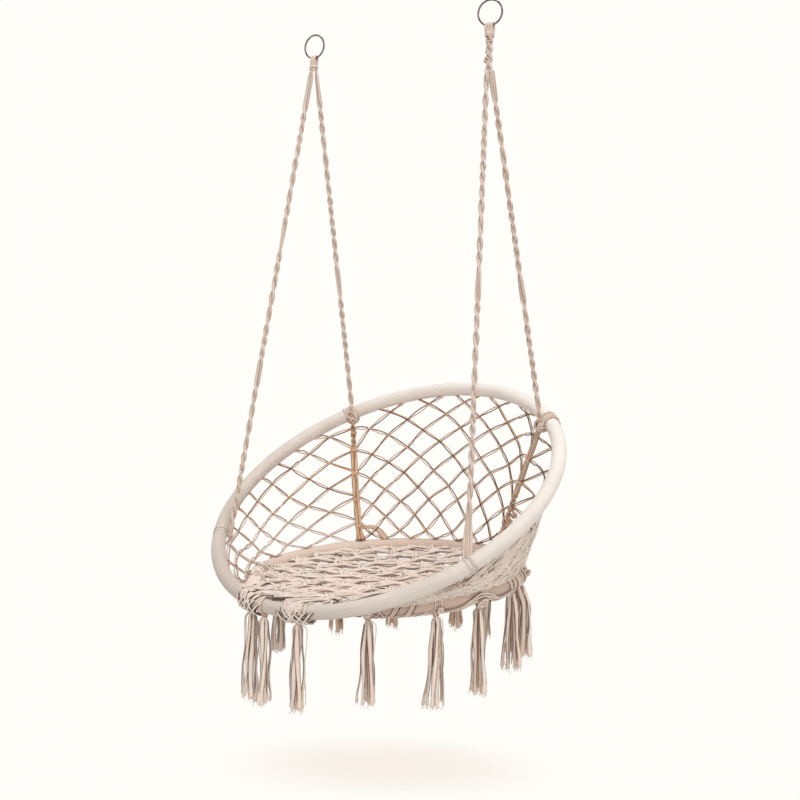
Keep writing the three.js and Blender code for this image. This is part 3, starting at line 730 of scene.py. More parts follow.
def side_net(side):
    """The net beside the sitter, with thicker lines towards the front."""
    net = Net(fades=True)
    last = SIDE_COLUMNS + FRONT_COLUMNS
    turns = INTO_SLEEVE if side > 0 else OVER_SLEEVE

    def stay_share(row):
        return row_share(2 * (row - 1))

    def front_edge(row):
        return radians(68 + 0.75 * row * row)

    def where(column, row):
        if row == 0:
            rear = radians(126.5 - 8.6 * min(column, SIDE_COLUMNS))
            return rear - (rear - BAND_EDGE) * max(0, (column - SIDE_COLUMNS) / FRONT_COLUMNS), 0
        if column > SIDE_COLUMNS:
            share = (column - SIDE_COLUMNS) / FRONT_COLUMNS
            return front_edge(row) * (1 - share) + BAND_EDGE * share, row / FRONT_ROWS
        share = (column - row + 1) / (SIDE_COLUMNS + 1 - row)
        at_stay = abs(stay_angle(side, stay_share(row)))
        fall = stay_share(row) + (column - row + 1) * (0.036 * row - 0.004 * row * row)
        return at_stay + (front_edge(row) - at_stay) * share, fall

    def is_point(column, row):
        return 0 < row <= column and where(column, row)[1] < 0.93

    def stop(column, row):
        angle, share = where(column, row)
        return net.place(side * angle, share)

    for column in range(1, last):
        count = 4 if column > SIDE_COLUMNS else 3
        stops = [net.leave(side * where(column, 0)[0], -125, stop(column, 1)[0], 0.3, count)]
        row = 1
        while is_point(column, row):
            stops.append(stop(column, row))
            row += 1
        if row > column:
            stops.append(on_stay(side, stay_share(row)))
        else:
            stops += seat_end(side * where(column, row)[0], turns, side * 0.05)
        net.line(stops, True, FRONT_CORD if column > SIDE_COLUMNS else NET_CORD)
    for row in range(1, SIDE_COLUMNS + 1):
        rear, front = [on_stay(side, stay_share(row))], []
        column = row
        while column < last and is_point(column, row):
            (front if column > SIDE_COLUMNS else rear).append(stop(column, row))
            column += 1
        if column == last:
            end = [net.place(side * BAND_EDGE, row / FRONT_ROWS)]
        else:
            end = seat_end(side * where(column, row)[0], turns, -side * 0.05)
        if front:
            net.line(rear, False)
            net.line([rear[-1]] + front + end, False, FRONT_CORD)
        elif len(rear) > 1:
            net.line(rear + end, False)
    return net


# The seat, a net of thicker lines set square on its corner, which carry on
# over the front of the seat ring and are knotted on the back ring

SEAT_STEP = 0.0065
SEAT_CELL = SEAT_DIAMOND / sqrt(2)
SEAT_INNER = seat_ring.radius - SLEEVE_RADIUS - 0.002
BAND_SEAT_ANGLE = radians(44)
BAND_HALF_ANGLE = radians(22)
STITCHES_START = radians(118)
GATHERS = [radians(a) for a in (-13, 6)]
GATHER_REACH = radians(4.5)
GATHER_LIFT = 0.0055
TONGUE_STRANDS = 42
TONGUE_WRAPS = 24


def seat_point(x, y):
    """A point of the seat's surface, x and y from the seat ring's centre."""
    closeness = min((x * x + y * y) / seat_ring.radius**2, 1)
    flat = Vector((x, y, SEAT_LIFT - SEAT_SAG * (1 - closeness)))
    return seat_ring.centre + np.array(Matrix.Rotation(seat_ring.tilt, 3, "X") @ flat)


def seat_line(mesh, way, k):
    """Cords that part and close between crossings. The line of a half k lies lower, between two."""
    offset = k * SEAT_CELL
    along = np.array((way, 1)) / sqrt(2)
    across = np.array((1, -way)) / sqrt(2)
    reach = sqrt(SEAT_INNER**2 - offset**2)
    distance = np.linspace(-reach, reach, int(2 * reach / SEAT_STEP))
    phase = distance / SEAT_CELL
    path = np.array([seat_point(x, y) for x, y in offset * across + distance[:, None] * along])
    weave = np.cos(pi * (phase - k % 1)) * way * (1 if int(k) % 2 else -1)
    side = np.array((across[0], across[1], 0.0))
    front = seat_ring.nearest(path[0])[0]
    rear = seat_ring.nearest(path[-1])[0]
    carries_on = abs(front) < BAND_SEAT_ANGLE
    cells = np.floor(phase - k % 1).astype(int) - floor(phase[0] - k % 1)
    part = np.sin(pi * ((phase - k) % 1)) ** 1.4
    between = k % 1 > 0
    count, wide, wave = (5, 1.2, 1.5) if way > 0 else (3, 0.85, 1.0)
    depth = -1.6 if between else 0.5 * (way - 1)
    layers = [(lane, 0.85) for lane in lanes(count, 2)] + [(lane, -0.85) for lane in lanes(count - 1, 2)]
    for lane, level in layers:
        wander = np.array([rng.gauss(0, 1) for _ in range(cells.max() + 1)])[cells]
        sway = SEAT_CORD * (lane * wide * (1.0 + 0.45 * part) + 1.9 * part * wander)
        restless = 0.6 * np.sin(distance * (110 + 60 * rng.random()) + 6 * rng.random())
        hop = SEAT_CORD * (wave * weave + level * (1 + 0.3 * part) + restless + depth)
        cord = path + sway[:, None] * side + hop[:, None] * seat_ring.axis
        start = front_end(front, lane) if carries_on else rear_end(front, lane)
        stops = start[::-1] + [(point, seat_ring.axis) for point in cord] + rear_end(rear, lane)
        line, facing, _ = fair(stops, SEAT_STEP)
        # Painted shade: the lower cords are darker and shaded on their far side
        tint, under = (uniform(-0.3, 0.2), 0.8) if level > 0 else (0.4, 1.0)
        mesh.tube(line, SEAT_CORD, normals=facing, tint=tint, flank_shade=0.3, under=under)
    if way > 0:
        # Dark cords of painted shade in the slits between the upper cords
        top = path + SEAT_CORD * (wave * weave + 1.2 + depth)[:, None] * seat_ring.axis
        for _ in range(5):
            shade_slits(mesh, top, seat_ring.axis, [SEAT_CORD * 2 * rng.choice((-2, -1, 0, 1, 2)) * wide], 0.0010)
    if not (carries_on or between):
        stitch(mesh, front)
    if not between:
        stitch(mesh, rear)


def facing_up(ring, stops):
    """The same stops, all facing along the ring's axis."""
    return [(place, ring.axis) for place, _ in stops]


def nearest_gather(angle):
    return min(GATHERS, key=lambda middle: abs(middle - angle))


def rear_end(angle, lane):
    """A seat cord passes in under the seat ring's sleeve."""
    spread = angle + lane * 0.8 * SEAT_CORD / seat_ring.radius
    return seat_ring.stops(spread, (-165, -140, -115, -92), SEAT_CORD)


def front_end(angle, lane):
    """A seat cord passes over the seat ring, to a knot on the back ring or in under its sleeve."""
    spread = angle + lane * 1.6 * SEAT_CORD / seat_ring.radius
    stops = facing_up(seat_ring, seat_ring.stops(spread, (125, 75), 1.5 * SEAT_CORD))
    landing = spread * BAND_HALF_ANGLE / BAND_SEAT_ANGLE + uniform(-0.012, 0.012)
    nearest = nearest_gather(landing)
    lift = uniform(0.6, 1.8) * SEAT_CORD
    if abs(nearest - landing) < GATHER_REACH:
        angles = np.linspace(landing, nearest + 0.55 * (landing - nearest), 5)
        return stops + back_ring.stops(angles, (115, 70, 30, 0, -20), lift)
    ends = back_ring.stops(landing, (160, 140, 120), (lift, 0.5 * lift, -0.002))
    return stops + facing_up(back_ring, ends)


def stitch(mesh, angle):
    """A thin light cord sewn over the rear of the seat ring beside a line's end."""
    if abs(angle) >= STITCHES_START:
        angle += uniform(-0.015, 0.015)
        seat_ring.wrap(mesh, angle, STITCH_CORD, uniform(-0.01, 0.01), -30, 200, 0.0, 0.3)


def over_front(angle, share, gap):
    """A place above the gap between the rings' fronts, from the back ring to the seat ring."""
    crest = [ring.on_sleeve(angle, pi / 2 + ring.tilt, gap) for ring in (back_ring, seat_ring)]
    return (1 - share) * crest[0] + share * crest[1]


def tongue(mesh):
    """More cords, slantwise over the front of the seat ring to the back ring, and round the seat ring."""
    for _ in range(TONGUE_STRANDS):
        landing = uniform(-0.36, 0.42)
        angle = landing + uniform(0.1, 0.6) * rng.choice((-0.5, 1, 1, 1))
        lift = uniform(0.001, 0.0045)
        stops = seat_ring.stops(angle, (175, 125), lift)
        for share in (1.0, 0.7, 0.4, 0.15):
            place = landing + (angle - landing) * share
            stops.append((over_front(place, share, lift + 0.0015 * rng.random()), seat_ring.axis))
        nearest = nearest_gather(landing)
        foot = nearest + uniform(-0.07, 0.07)
        if abs(nearest - landing) < 0.085:
            turns = np.array((110, 75, 40, 10, -20))
            stops += back_ring.stops(landing + (foot - landing) * (110 - turns) / 130, turns, lift)
        else:
            stops += back_ring.stops(landing, (128, 120), -0.002)
        strand(mesh, stops, 3, TONGUE_CORD, (-0.3, 0.3), 0.9, under=0.9)
    for _ in range(TONGUE_WRAPS):
        angle, lean = uniform(-1.15, 0.2), rng.choice((-1, 1)) * uniform(0.02, 0.05)
        seat_ring.wrap(mesh, angle, SEAT_CORD, lean, -110, 170, 0.3 * rng.random() - 0.2, 0.7)


def gather(mesh, middle):
    """A cluster of slanting wraps, with thin dark wraps of painted shade beside them, and small knots on the
    back ring, where the seat's cords end.
    """
    for way in (-1, 1):
        for shift in lanes(4, 0.0125):
            angle = middle + shift / back_ring.radius + uniform(-0.006, 0.006)
            start, end = uniform(30, 75), uniform(-75, -50)
            lean = way * uniform(0.025, 0.055)
            tint = uniform(-0.3, 0.1)
            back_ring.wrap(mesh, angle, GATHER_CORD, lean, start, end, tint, 0.6, lift=GATHER_LIFT)
            # Thin dark wraps beside each wrap are painted shade between them
            for flank in (-1, 1):
                dark = angle + flank * 0.0035 / back_ring.radius
                back_ring.wrap(mesh, dark, 0.0014, lean, start, end, crease=1.0, lift=GATHER_LIFT)
    for _ in range(4):
        turn = radians(uniform(-70, 10))
        place = back_ring.on_sleeve(middle + uniform(-0.07, 0.07), turn, 0.003)
        ball_knot(mesh, place, uniform(0.006, 0.0095), 4, SEAT_CORD, (-0.1, 0.4), 0.95)


def seat():
    mesh = Mesh()
    most = int(SEAT_INNER / SEAT_CELL - 0.3)
    for way in (1, -1):
        for k in range(-most, most + 1):
            seat_line(mesh, way, k)
    for k in range(-most - 1, most + 1):
        seat_line(mesh, 1, k + 0.5)
    tongue(mesh)
    for middle in GATHERS:
        gather(mesh, middle)
    mesh.cords("seat_macrame", ["seat_net", "front_net_middle"])


# Ropes, knots and stays

HANG_X = sum(corner.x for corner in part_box("right_hanging_ring")) / 2
ROPE_TURNS = 17
LEFT_STILL = [(0.05, 0.04), (0.37, 0.03), (0.66, 0.025)]
RIGHT_STILL = [(0.45, 0.03), (0.95, 0.05)]
BACK_STILL = [(0.04, 0.05), (0.6, 0.03)]
STAY_PITCH = 0.0036
TAIL_ANGLES = [radians(a) for a in (-136, -140, -142)]


def front_rope(word, side):
    node = f"{word}_front_rope"
    angle = side * FRONT_ROPE_ANGLE
    top = np.array((side * HANG_X, -ROPE_START_SPREAD / 2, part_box(node)[1].z))
    along = unit(back_ring.point(angle) - top)
    inward = unit(np.cross(back_ring.tangent(angle), along))
    end = back_ring.point(angle) + inward * (SLEEVE_RADIUS + 0.006)
    mesh = Mesh()
    twisted(mesh, straight(top, end), ROPE_TURNS, still=RIGHT_STILL if side > 0 else LEFT_STILL)
    tail = end + 0.022 * along - 0.002 * inward
    rise = 0.09 if side > 0 else 0.02
    for lane in lanes(6, 0.0029):
        across = lane * unit(np.cross(along, inward))
        upper = [end - rise * along + 0.5 * across, end - 0.6 * rise * along + across]
        path, _ = spline(upper + [end + across, tail + 0.4 * across], 0.004)
        mesh.tube(path, 0.002, normals=-inward, tint=0.3 * rng.random(), flank_shade=0.5)
    mesh.cords(f"{word}_rope_front", [node])
    wraps = Mesh()
    for shift in (-0.0072, -0.0042, 0.0036, 0.0068):
        place = angle + shift / back_ring.radius
        back_ring.wrap(wraps, place, 0.0014, 0.003, tint=-0.3, flank_shade=0.8, pinch=PINCH_DEPTH)
    ball_knot(wraps, end + 0.001 * inward, 0.009, 5, ROPE_CORD, (0.0, 0.7))
    wraps.cords(f"{word}_hitch", [f"{word}_front_hitch"])


def back_rope(word, side):
    node = f"{word}_back_rope"
    top = np.array((side * HANG_X, ROPE_START_SPREAD / 2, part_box(node)[1].z))
    mesh = Mesh()
    twisted(mesh, straight(top, knot_centre(side)), ROPE_TURNS, still=BACK_STILL)
    mesh.cords(f"{word}_rope_back", [node])
    knot = Mesh()
    ball_knot(knot, knot_centre(side), 0.0165, 9, 0.0024, (0.1, 0.9))
    ball_knot(knot, knot_centre(side), 0.010, 6, 0.0030, (0.6, 1.0))
    for shift in lanes(6, 0.0046):
        angle = side * BACK_ROPE_ANGLE + shift / back_ring.radius
        back_ring.wrap(knot, angle, 0.0022, uniform(-0.008, 0.008), flank_shade=0.5)
    knot.cords(f"{word}_knot", [f"{word}_back_knot"])


def stay(word, side):
    """The ropes carry on down to the seat ring, twisted in one part and smooth in the rest."""
    mesh = Mesh(1.0 if side < 0 else 0.55)
    shares = np.linspace(0.0, 0.96, 60)
    path = np.array([stay_point(side, s) for s in shares])
    facing = np.array([surface_normal(stay_angle(side, s), s) for s in shares])
    _, across = frames(path, facing)
    path = path + (0.004 * np.sin(pi * shares))[:, None] * across
    if side < 0:
        wound, rests, outlined = slice(0, 17), [slice(13, 60)], slice(16, 60)
    else:
        wound, rests, outlined = slice(30, 47), [slice(0, 34), slice(43, 60)], slice(0, 30)
    twisted(mesh, path[wound], 34, 2, 3, 0.0036, STAY_CORD, tint=(0.2, 1.0))
    for part in rests:
        for way in (-1, 1):
            rest = path[part] + 0.0017 * way * facing[part]
            laid(mesh, rest, way * facing[part], lanes(4, STAY_PITCH), STAY_CORD, 0.0009, (-0.2, 0.45), 0.7)
    for share in (0.26, 0.43, 0.64, 0.84):
        tie(mesh, stay_point(side, share) + 0.003 * across[0], unit(path[-1] - path[0]), 0.0075, 2, 0.0014)
    # Thin dark cords of painted shade along the rope's flanks
    for lane in (-0.0012, 0.0068):
        line = path[outlined] + STAY_PITCH * facing[0] + lane * across[0]
        mesh.tube(line, 0.0009, sides=6, crease=0.7)
    if side < 0:
        ball_knot(mesh, stay_point(side, 0.12), 0.0085, 6, STAY_CORD, (0.3, 1.0))
        first, second, last = TAIL_ANGLES
        tail = [stay_point(side, 0.86), surface(first, 0.86), surface(second, 0.9)]
        tail, _ = spline(tail + [seat_ring.on_sleeve(last, radians(110), 0.001)], 0.004)
        width = np.linspace(0.003, 0.0085, len(tail))
        normal = surface_normal((first + second) / 2, 0.9)
        mesh.tube(tail, width, normals=normal, tint=0.6, warmth=0.5, flank_shade=0.6, flat=0.2)
    else:
        ball_knot(mesh, stay_point(side, 0.74), 0.014, 8, STAY_CORD, (0.0, 0.8))
        ball_knot(mesh, stay_point(side, 0.68) + np.array((0.012, 0, 0)), 0.010, 4, 0.0018, (0.0, 0.5))
    for lane in lanes(7, 1):
        angle = foot_angle(side) + lane * 0.0034 / seat_ring.radius
        foot = [place for place, _ in seat_ring.stops(angle, (100, 60, 20, -20), 0.0016)]
        line, _ = spline([path[-6] + lane * 0.0018 * across[0]] + foot, 0.005)
        normals = unit(line - seat_ring.point(angle))
        mesh.tube(line, 0.0019, normals=normals, tint=uniform(0.2, 1), flank_shade=0.5)
    mesh.cords(f"{word}_stay", [f"{word}_back_stay", f"{word}_stay_hitch"])


# Hanging rings and the loops on them


def hanging_ring(word):
    node = frame["nodes"][f"{word}_hanging_ring"]
    vertices = np.array([node.matrix_world @ v.co for v in node.data.vertices])
    centre = (vertices.min(0) + vertices.max(0)) / 2
    far = vertices[np.argmax(vertices[:, 0])] - centre
    lean = atan2(far[1], far[0])
    path = centre + HANGING_RADIUS * circle(full_turn(72), np.array((cos(lean), sin(lean), 0)), UP)
    mesh = Mesh()
    mesh.tube(path, 0.88 * WIRE_RADIUS, sides=16, closed=True, normals=path - centre)
    mesh.object(f"{word}_steel_ring", ring_steel, "hangers", "ring_steel", [node.name])


def hanging_loop(word, side):
    """Cords looped round the wire, two bound bands below it, and then the neck."""
    x = side * HANG_X
    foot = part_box(f"{word}_hanging_loop")[0].z
    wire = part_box(f"{word}_hanging_ring")[0].z + WIRE_RADIUS
    pitch, drops, width = 0.0040, (0.0125, 0.0185), 0.0108
    if side < 0:
        pitch, drops, width = 0.0031, (0.0105, 0.0155), 0.0078
    mesh = Mesh()
    for shift in lanes(5, pitch):
        centre = np.array((x + shift, 0, wire - 0.006))
        loop = centre + circle(full_turn(20), (WIRE_RADIUS + 0.0086) * UP, np.array((0, 0.0052, 0)))
        mesh.loop(loop, centre, 0.0017, 0.5 * rng.random(), 0.35)

    def below(drop):
        return np.array((x, 0, wire - drop))

    for drop in drops:
        tie(mesh, below(drop), UP, width, 4, 0.0012, tint=0.35, flat=0.75)
    neck = straight(below(0.01), np.array((x, 0, foot)), 0.003)
    if side < 0:
        for way in (-1, 1):
            spread = 0.5 * way * ROPE_START_SPREAD * np.linspace(0.35, 1, len(neck))
            twisted(mesh, neck + spread[:, None] * np.array((0, 1, 0)), 4)
        tie(mesh, below(0.0190), UP, 0.009, 1, 0.0016, tint=-0.3)
        tie(mesh, below(0.0215), UP, 0.009, 1, 0.0009, tint=2.5)
    else:
        twisted(mesh, neck, 24, 2, 4, 0.0036, 0.0022)
        for drop in (0.036, 0.056, 0.071):
            place = below(drop) + np.array((uniform(-0.003, 0.003), -0.004, 0))
            ball_knot(mesh, place, 0.0075, 3, 0.0016, (0.0, 0.6))
    mesh.cords(f"{word}_loop", [f"{word}_hanging_loop"])


# The hem: scallops and strands low in the side nets, and on the near side of
# the seat ring a cord with round knots and wraps. In degrees, SCALLOPS has each
# group's side, count, first and last angle and its least share of the way down,
# FLOW a cord's angles and turns, and NEAR_WRAPS angles, each with a lean.

SCALLOPS = [
    (RIGHT, 84, 78, 134, 0.2),
    (RIGHT, 26, 70, 100, 0.06),
    (RIGHT, 16, 30, 84, 0.55),
    (LEFT, 14, 24, 60, 0.93),
]
STREAMS = 40
FLOW = [
    (56, -66), (62, -64), (67, -46), (71, -14), (75, 4),
    (80, -8), (83, -36), (87, -48), (93, -40), (99, -52),
]
NEAR_WRAPS = [
    (40, -0.035), (46, -0.03), (94, 0.012), (97, -0.01),
    (101, 0.015), (106, -0.012), (111, 0.01), (117, 0.012),
]


def coil(mesh, angle, turn, radius, turns, cord):
    """A round knot on the outside of the seat ring."""
    [(centre, out)] = seat_ring.stops([radians(angle)], turn, 1.1 * cord)
    along = seat_ring.tangent(radians(angle))
    share = np.linspace(0, 1, int(26 * turns))
    reach = 0.8 * cord + (radius - 0.8 * cord) * share**0.7
    path = centre + reach[:, None] * circle(2 * pi * turns * share + 1.2, along, np.cross(out, along))
    path = path + (0.7 * cord * (1 - share))[:, None] * out
    mesh.tube(path, cord, normals=out, tint=0.2, flank_shade=0.95)


def hem_strand(mesh, stops):
    strand(mesh, stops, rng.choice((2, 3)), HEM_CORD, (-0.6, 0.0), 0.7, 0.6)


def scallop(mesh, side, angle, high, reach, lean):
    """A cord hung over a crest, its feet behind others, or inside the seat ring if it lies low."""
    depth = uniform(0.24, 0.38)
    limbs = []
    for way in (-1, 1):
        foot = angle + way * reach
        if high + depth > 0.8:
            limb = seat_ring.stops(foot, (170, 120, 80), 0.001)
        else:
            limb = [on_surface(foot, high + depth, -0.004)]
        limb.append(on_surface(angle + way * 0.75 * reach + lean, high + 0.4 * min(depth, 0.9 - high)))
        limbs.append(limb)
    stops = limbs[0] + [on_surface(angle + lean, high)] + limbs[1][::-1]
    out = side * uniform(-0.004, 0.006) * back_ring.outward(angle)
    hem_strand(mesh, [(place + out, normal) for place, normal in stops])


def stream(mesh, angle, reach, high, rise):
    """A strand that runs along the near side, low in the net, and climbs a little towards the rear."""
    phase = 6 * rng.random()
    stops = []
    for share in np.linspace(0, 1, 9):
        down = high - rise * share + 0.035 * sin(7 * share + phase)
        stops.append(on_surface(angle + reach * share, down, uniform(0.0, 0.004)))
    hem_strand(mesh, stops)


def near_cord(mesh):
    """Three cords wound loosely together, a strand that weaves on from them, and two coils."""
    for number in range(3):
        phase = 2 * pi * number / 3
        path = []
        for angle in np.radians(np.linspace(28, 62, 60)):
            turn = radians(-76) + 0.1 * sin(angle * 19) + 0.16 * sin(angle * 55 + phase)
            path.append(seat_ring.on_sleeve(angle, turn, 0.0024 + 0.0018 * cos(angle * 55 + phase)))
        mesh.tube(path, 0.0021, flank_shade=0.8)
    angles, turns = zip(*FLOW)
    strand(mesh, seat_ring.stops(np.radians(angles), turns, 0.0026), 3, 0.0026, (-0.1, 0.4), 0.95, 0.2)
    coil(mesh, 57, -30, 0.0065, 1.2, 0.0034)
    coil(mesh, 76, -34, 0.0125, 1.5, 0.0042)


def near_wraps(mesh):
    for degrees, lean in NEAR_WRAPS:
        angle, start, end = radians(degrees), uniform(90, 110), uniform(-110, -70)
        for shift in (0, 0.0046):
            place, tint = angle + shift / seat_ring.radius, 0.3 * rng.random() - 0.1
            seat_ring.wrap(mesh, place, 0.0024, lean, start, end, tint, 0.9)
        # A thin dark wrap of painted shade beside each pair
        seat_ring.wrap(mesh, angle + 0.0085 / seat_ring.radius, 0.0013, lean, start, end, crease=0.95)
    for number in range(10):
        lean = uniform(0.01, 0.04) * (-1) ** number
        angle = radians(uniform(24, 36))
        seat_ring.wrap(mesh, angle, 0.0019, lean, 10, -100, 0.4 * rng.random(), 1.0)


def hem():
    mesh = Mesh(0.12)
    for side, count, first, last, top in SCALLOPS:
        for _ in range(count):
            angle = side * radians(uniform(first, last))
            rear_limit = 0.2 + 0.4 * smooth((abs(angle) - 1.85) / 0.4) if side > 0 else 0
            high = max(uniform(top, 0.93), rear_limit)
            scallop(mesh, side, angle, high, radians(uniform(5, 9)), radians(uniform(-3, 3)))
    for _ in range(STREAMS):
        angle, reach = radians(uniform(20, 98)), radians(uniform(14, 32))
        stream(mesh, angle, reach, uniform(0.62, 0.97), uniform(0.0, 0.22))
    near_cord(mesh)
    near_wraps(mesh)
    knot = seat_ring.on_sleeve(radians(112), radians(20), 0.006)
    ball_knot(mesh, knot, 0.010, 6, 0.0022, (0.0, 0.5), 0.8)
    mesh.cords("seat_hem")


# Tassels

TASSEL_RIBBONS = 7
RIBBON_SPREAD = 0.0175
RIBBON_WIDTHS = (0.0036, 0.0052)
ORANGE_TASSELS = (11, 12, 13)
WIDE_TASSELS = {5: 1.6, 7: 1.25, 8: 1.2}
OUTER_TASSEL = 8
OUTER_LEAN = 0.012


def ribbon(mesh, middle, width, turn):
    """A flat ribbon with painted shade on its flanks and thin dark lines of painted shade along them, which
    splits and frays at its end.
    """
    share = np.linspace(0, 1, len(middle))
    face = circle(turn + 0.3 * np.sin(5 * share), np.array((1, 0, 0)), np.array((0, 1, 0)))
    mesh.tube(middle, width, normals=face, tint=uniform(-0.4, 0.2), flank_shade=0.35, flat=0.5)
    aside = np.cross(face, UP) * rng.choice((-1, 1))
    # Thin dark lines of painted shade along both flanks
    for flank in (-1, 1):
        line = middle + 0.97 * flank * width[:, None] * aside
        mesh.tube(line[2:-3], FINE_LINE, sides=6, crease=0.95)
    across = aside[-3]
    for lane in (-1, 1):
        end = middle[-3] + 0.0018 * lane * across
        tail = end - uniform(0.007, 0.013) * UP + uniform(0.0, 0.003) * lane * across
        split, _ = spline([middle[-6] + 0.001 * lane * across, end, tail], 0.003)
        mesh.tube(split, 0.0024, sides=6, normals=face[-3], tint=-0.2, flank_shade=0.5, flat=0.6)
        fray(mesh, tail, unit(tail - end))


def fray(mesh, end, heading):
    """The loose fibres at a cut end."""
    for _ in range(2):
        away = np.array([rng.gauss(0, 0.002) for _ in range(3)])
        path = [end, end + 0.003 * heading + 0.5 * away, end + 0.006 * heading + away]
        mesh.tube(path, FINE_LINE, sides=4, tint=uniform(0.2, 1))


def tassel(number, hinge):
    """A gathered head below the ring, and ribbons of loose cord with a few thin cords among them."""
    node = f"tassel_{number}"
    length = hinge[2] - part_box(node)[0].z
    mesh = Mesh(0.75 if number in ORANGE_TASSELS else 0.2)
    ball_knot(mesh, hinge - 0.001 * UP, 0.0075, 5, 0.0018, (0.0, 0.6), 0.8)
    share = np.linspace(0, 1, 34)
    wide = WIDE_TASSELS.get(number, 1.0)

    def hung(out, turn, fall):
        return hinge + np.stack([out * np.cos(turn), out * np.sin(turn), -fall * share], -1)

    for place in range(TASSEL_RIBBONS):
        heading = 2.4 * place + uniform(-0.3, 0.3)
        spread = RIBBON_SPREAD * sqrt((place + 0.4) / TASSEL_RIBBONS)
        sway, waves, phase = uniform(0.0008, 0.0022), uniform(7, 13), uniform(0, 6.28)
        out = spread * (0.72 + 0.28 * smooth(share * 1.6)) * smooth(share * 12) * (1 + (wide - 1) * share**3)
        out = out + uniform(0.0, 0.005) * smooth(4 * share - 3) + sway * np.sin(waves * share + phase)
        turn = heading + 0.3 * np.sin(3 * share + phase)
        middle = hung(out, turn, length * uniform(0.93, 0.99))
        if number == OUTER_TASSEL:
            outward = seat_ring.outward(seat_ring.nearest(hinge)[0])
            middle = middle + (OUTER_LEAN * smooth(3 * share))[:, None] * outward
        width = uniform(*RIBBON_WIDTHS) * (0.5 + 0.5 * smooth(5 * share))
        width = width * (1 + 0.15 * np.sin(9 * share + phase)) * (1 + 0.25 * smooth(8 * share - 7))
        ribbon(mesh, middle, width, turn)
    for _ in range(3):
        heading, phase, reach = 6.28 * rng.random(), 6.28 * rng.random(), uniform(0.006, 0.016)
        out = reach * smooth(share * 12) + 0.002 * np.sin(9 * share + phase)
        mesh.tube(hung(out, heading + 0.4 * share, 0.95 * length), 0.0011, sides=6, tint=-0.3, flank_shade=0.3)
    mesh.cords(f"{node}_fringe", [node], f"{node}_body")


def tassel_heads(hinges):
    """The turns of cord that hold each tassel on its ring."""
    mesh = Mesh()
    for hinge in hinges:
        ring = min((seat_ring, back_ring), key=lambda r: r.nearest(hinge)[1])
        angle = ring.nearest(hinge)[0]
        start, end = (-180, 180) if radians(-70) < angle < radians(125) else (-130, 60)
        for shift in lanes(4, 0.004):
            place, lean = angle + shift / ring.radius, uniform(-0.006, 0.006)
            ring.wrap(mesh, place, 0.0019, lean, start, end, 0.7 * rng.random(), 0.7)
    mesh.cords("tassel_heads")


rope_angles = [s * a for s in (LEFT, RIGHT) for a in (FRONT_ROPE_ANGLE, BACK_ROPE_ANGLE)]
# The angles given last are where painted shade darkens each sleeve most
sleeve("back_ring", back_ring, rope_angles, radians(-35))
sleeve("seat_ring", seat_ring, [foot_angle(s) for s in (LEFT, RIGHT)], radians(60))
back_net().mesh.cords("net_back", ["back_net_left", "back_net_middle", "back_net_right"])
for word, side in (("left", LEFT), ("right", RIGHT)):
    front_rope(word, side)
    back_rope(word, side)
    stay(word, side)
    hanging_ring(word)
    hanging_loop(word, side)
    panels = [f"{word}_side_net_rear", f"{word}_side_net_front", f"front_net_{word}"]
    side_net(side).mesh.cords(f"net_{word}", panels)
seat()
hem()
hinges = {j["child"]: np.array(j["pos_m"]) for j in frame["joints"] if j["child"].startswith("tassel")}
for number in range(1, 1 + len(hinges)):
    tassel(number, hinges[f"tassel_{number}_body"])
tassel_heads(hinges.values())
for name in ("seat_ring_tube", "back_ring_tube"):
    frame["nodes"][name].data.materials.clear()
    frame["nodes"][name].data.materials.append(tube_steel)


# Studio. Suns light the floor evenly, so that its lit parts can match the
# backdrop, and only the object's shadow shows.

FLOOR_HEIGHT = -1.615
FLOOR_SIZE = 60.0
AMBIENT = 0.6
AMBIENT_COLOUR = (1.0, 0.985, 0.965)
SHADOW_TONE = (0.11, 0.22, 0.29)
SHADOW_CENTRE = Vector((0.0, 0.03, FLOOR_HEIGHT))
SHADOW_HALF_WIDTH = 0.36
SHADOW_HALF_DEPTH = 0.2
SUNS = {
    "key": ((0.9, -0.6, 0.6), 0.65, 25),
    "top": ((0.0, 0.02, 1.0), 1.2, 22),
    "fill": ((0.6, -0.8, 0.05), 0.65, 60),
}


def sun(name, direction, strength, spread):
    light = bpy.data.lights.new(name, "SUN")
    light.energy = strength
    light.angle = radians(spread)
    add_object(name, light).rotation_euler = Vector(direction).to_track_quat("Z", "Y").to_euler()


def floor_light():
    """The light that a white floor sends back where nothing shades it."""
    total = sum(strength * Vector(way).normalized().z for way, strength, _ in SUNS.values()) / pi
    return [total + AMBIENT * c for c in AMBIENT_COLOUR]


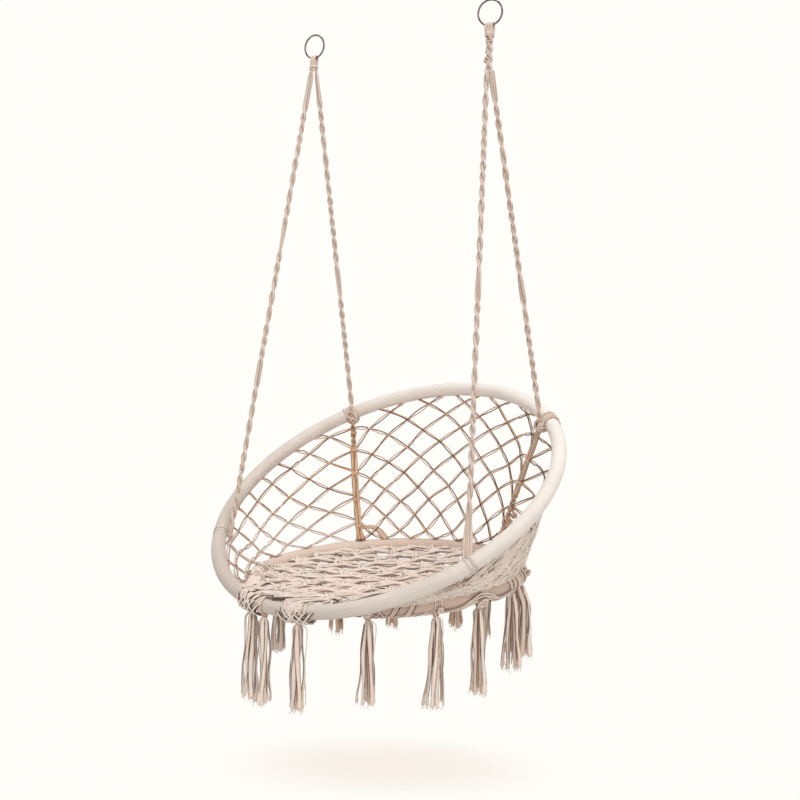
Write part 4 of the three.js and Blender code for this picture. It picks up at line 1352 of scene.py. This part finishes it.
def backdrop_material():
    """The backdrop's colour, less what the object shades near the middle of the floor."""
    n = Nodes(bpy.data.materials.new("backdrop"))
    stretch = {"Vector": n.place(), "Scale": (1 / SHADOW_HALF_WIDTH, 1 / SHADOW_HALF_DEPTH, 1)}
    scaled = n.add("ShaderNodeMapping", stretch).outputs[0]
    distance = n.add("ShaderNodeVectorMath", {0: scaled}, operation="LENGTH").outputs["Value"]
    limits = {"Value": distance, "From Min": 0.3, "From Max": 1.3, "To Min": 1.0, "To Max": 0.0}
    near = n.add("ShaderNodeMapRange", limits, interpolation_type="SMOOTHSTEP").outputs[0]
    background = linear(BACKGROUND)
    lit = [tone * light for tone, light in zip(SHADOW_TONE, floor_light())]
    rest = tuple(b - l for b, l in zip(background, lit)) + (1,)
    shaded = n.mix(near, (0, 0, 0, 1), SHADOW_TONE + (1,))
    diffuse = n.add("ShaderNodeBsdfDiffuse", {"Color": shaded}).outputs[0]
    glow = n.add("ShaderNodeEmission", {"Color": n.mix(near, background, rest)}).outputs[0]
    seen = n.add("ShaderNodeAddShader", {0: glow, 1: diffuse}).outputs[0]
    plain = n.add("ShaderNodeBsdfDiffuse", {"Color": (0.72, 0.7, 0.68, 1)}).outputs[0]
    ray = n.add("ShaderNodeLightPath")
    shown = n.maths("MAXIMUM", ray.outputs["Is Camera Ray"], ray.outputs["Is Glossy Ray"])
    out = n.add("ShaderNodeMixShader", {0: shown, 1: plain, 2: seen}).outputs[0]
    n.feed(n.tree.nodes["Material Output"], {"Surface": out})
    return n.owner


def studio_world():
    n = Nodes(bpy.data.worlds.new("studio"))
    n.tree.nodes.clear()
    ray = n.add("ShaderNodeLightPath").outputs["Is Camera Ray"]
    ambient = n.add("ShaderNodeBackground", {"Color": AMBIENT_COLOUR + (1,), "Strength": AMBIENT}).outputs[0]
    shown = n.add("ShaderNodeBackground", {"Color": linear(BACKGROUND), "Strength": 1.0}).outputs[0]
    mix = n.add("ShaderNodeMixShader", {0: ray, 1: ambient, 2: shown}).outputs[0]
    n.add("ShaderNodeOutputWorld", {"Surface": mix})
    return n.owner


bpy.ops.mesh.primitive_plane_add(size=FLOOR_SIZE, location=SHADOW_CENTRE, rotation=(0, 0, AZIMUTH))
floor_plane = bpy.context.object
floor_plane.name = "floor"
floor_plane.data.materials.append(backdrop_material())
bpy.context.scene.world = studio_world()
for name, (direction, strength, spread) in SUNS.items():
    sun(name, direction, strength, spread)

# Camera

back = Vector((sin(AZIMUTH) * cos(ELEVATION), -cos(AZIMUTH) * cos(ELEVATION), sin(ELEVATION)))
across = Vector((0, 0, 1)).cross(back).normalized()
right = cos(ROLL) * across + sin(ROLL) * back.cross(across)
camera_data = bpy.data.cameras.new("camera")
camera_data.sensor_width = SENSOR_MM
camera_data.lens = FOCAL_PX * SENSOR_MM / IMAGE_WIDTH
camera = add_object("camera", camera_data)
axes = Matrix((right, back.cross(right), back)).transposed().to_4x4()
camera.matrix_world = Matrix.Translation(CAMERA_PLACE) @ axes
bpy.context.scene.camera = camera
bpy.context.scene.view_settings.view_transform = "Standard"
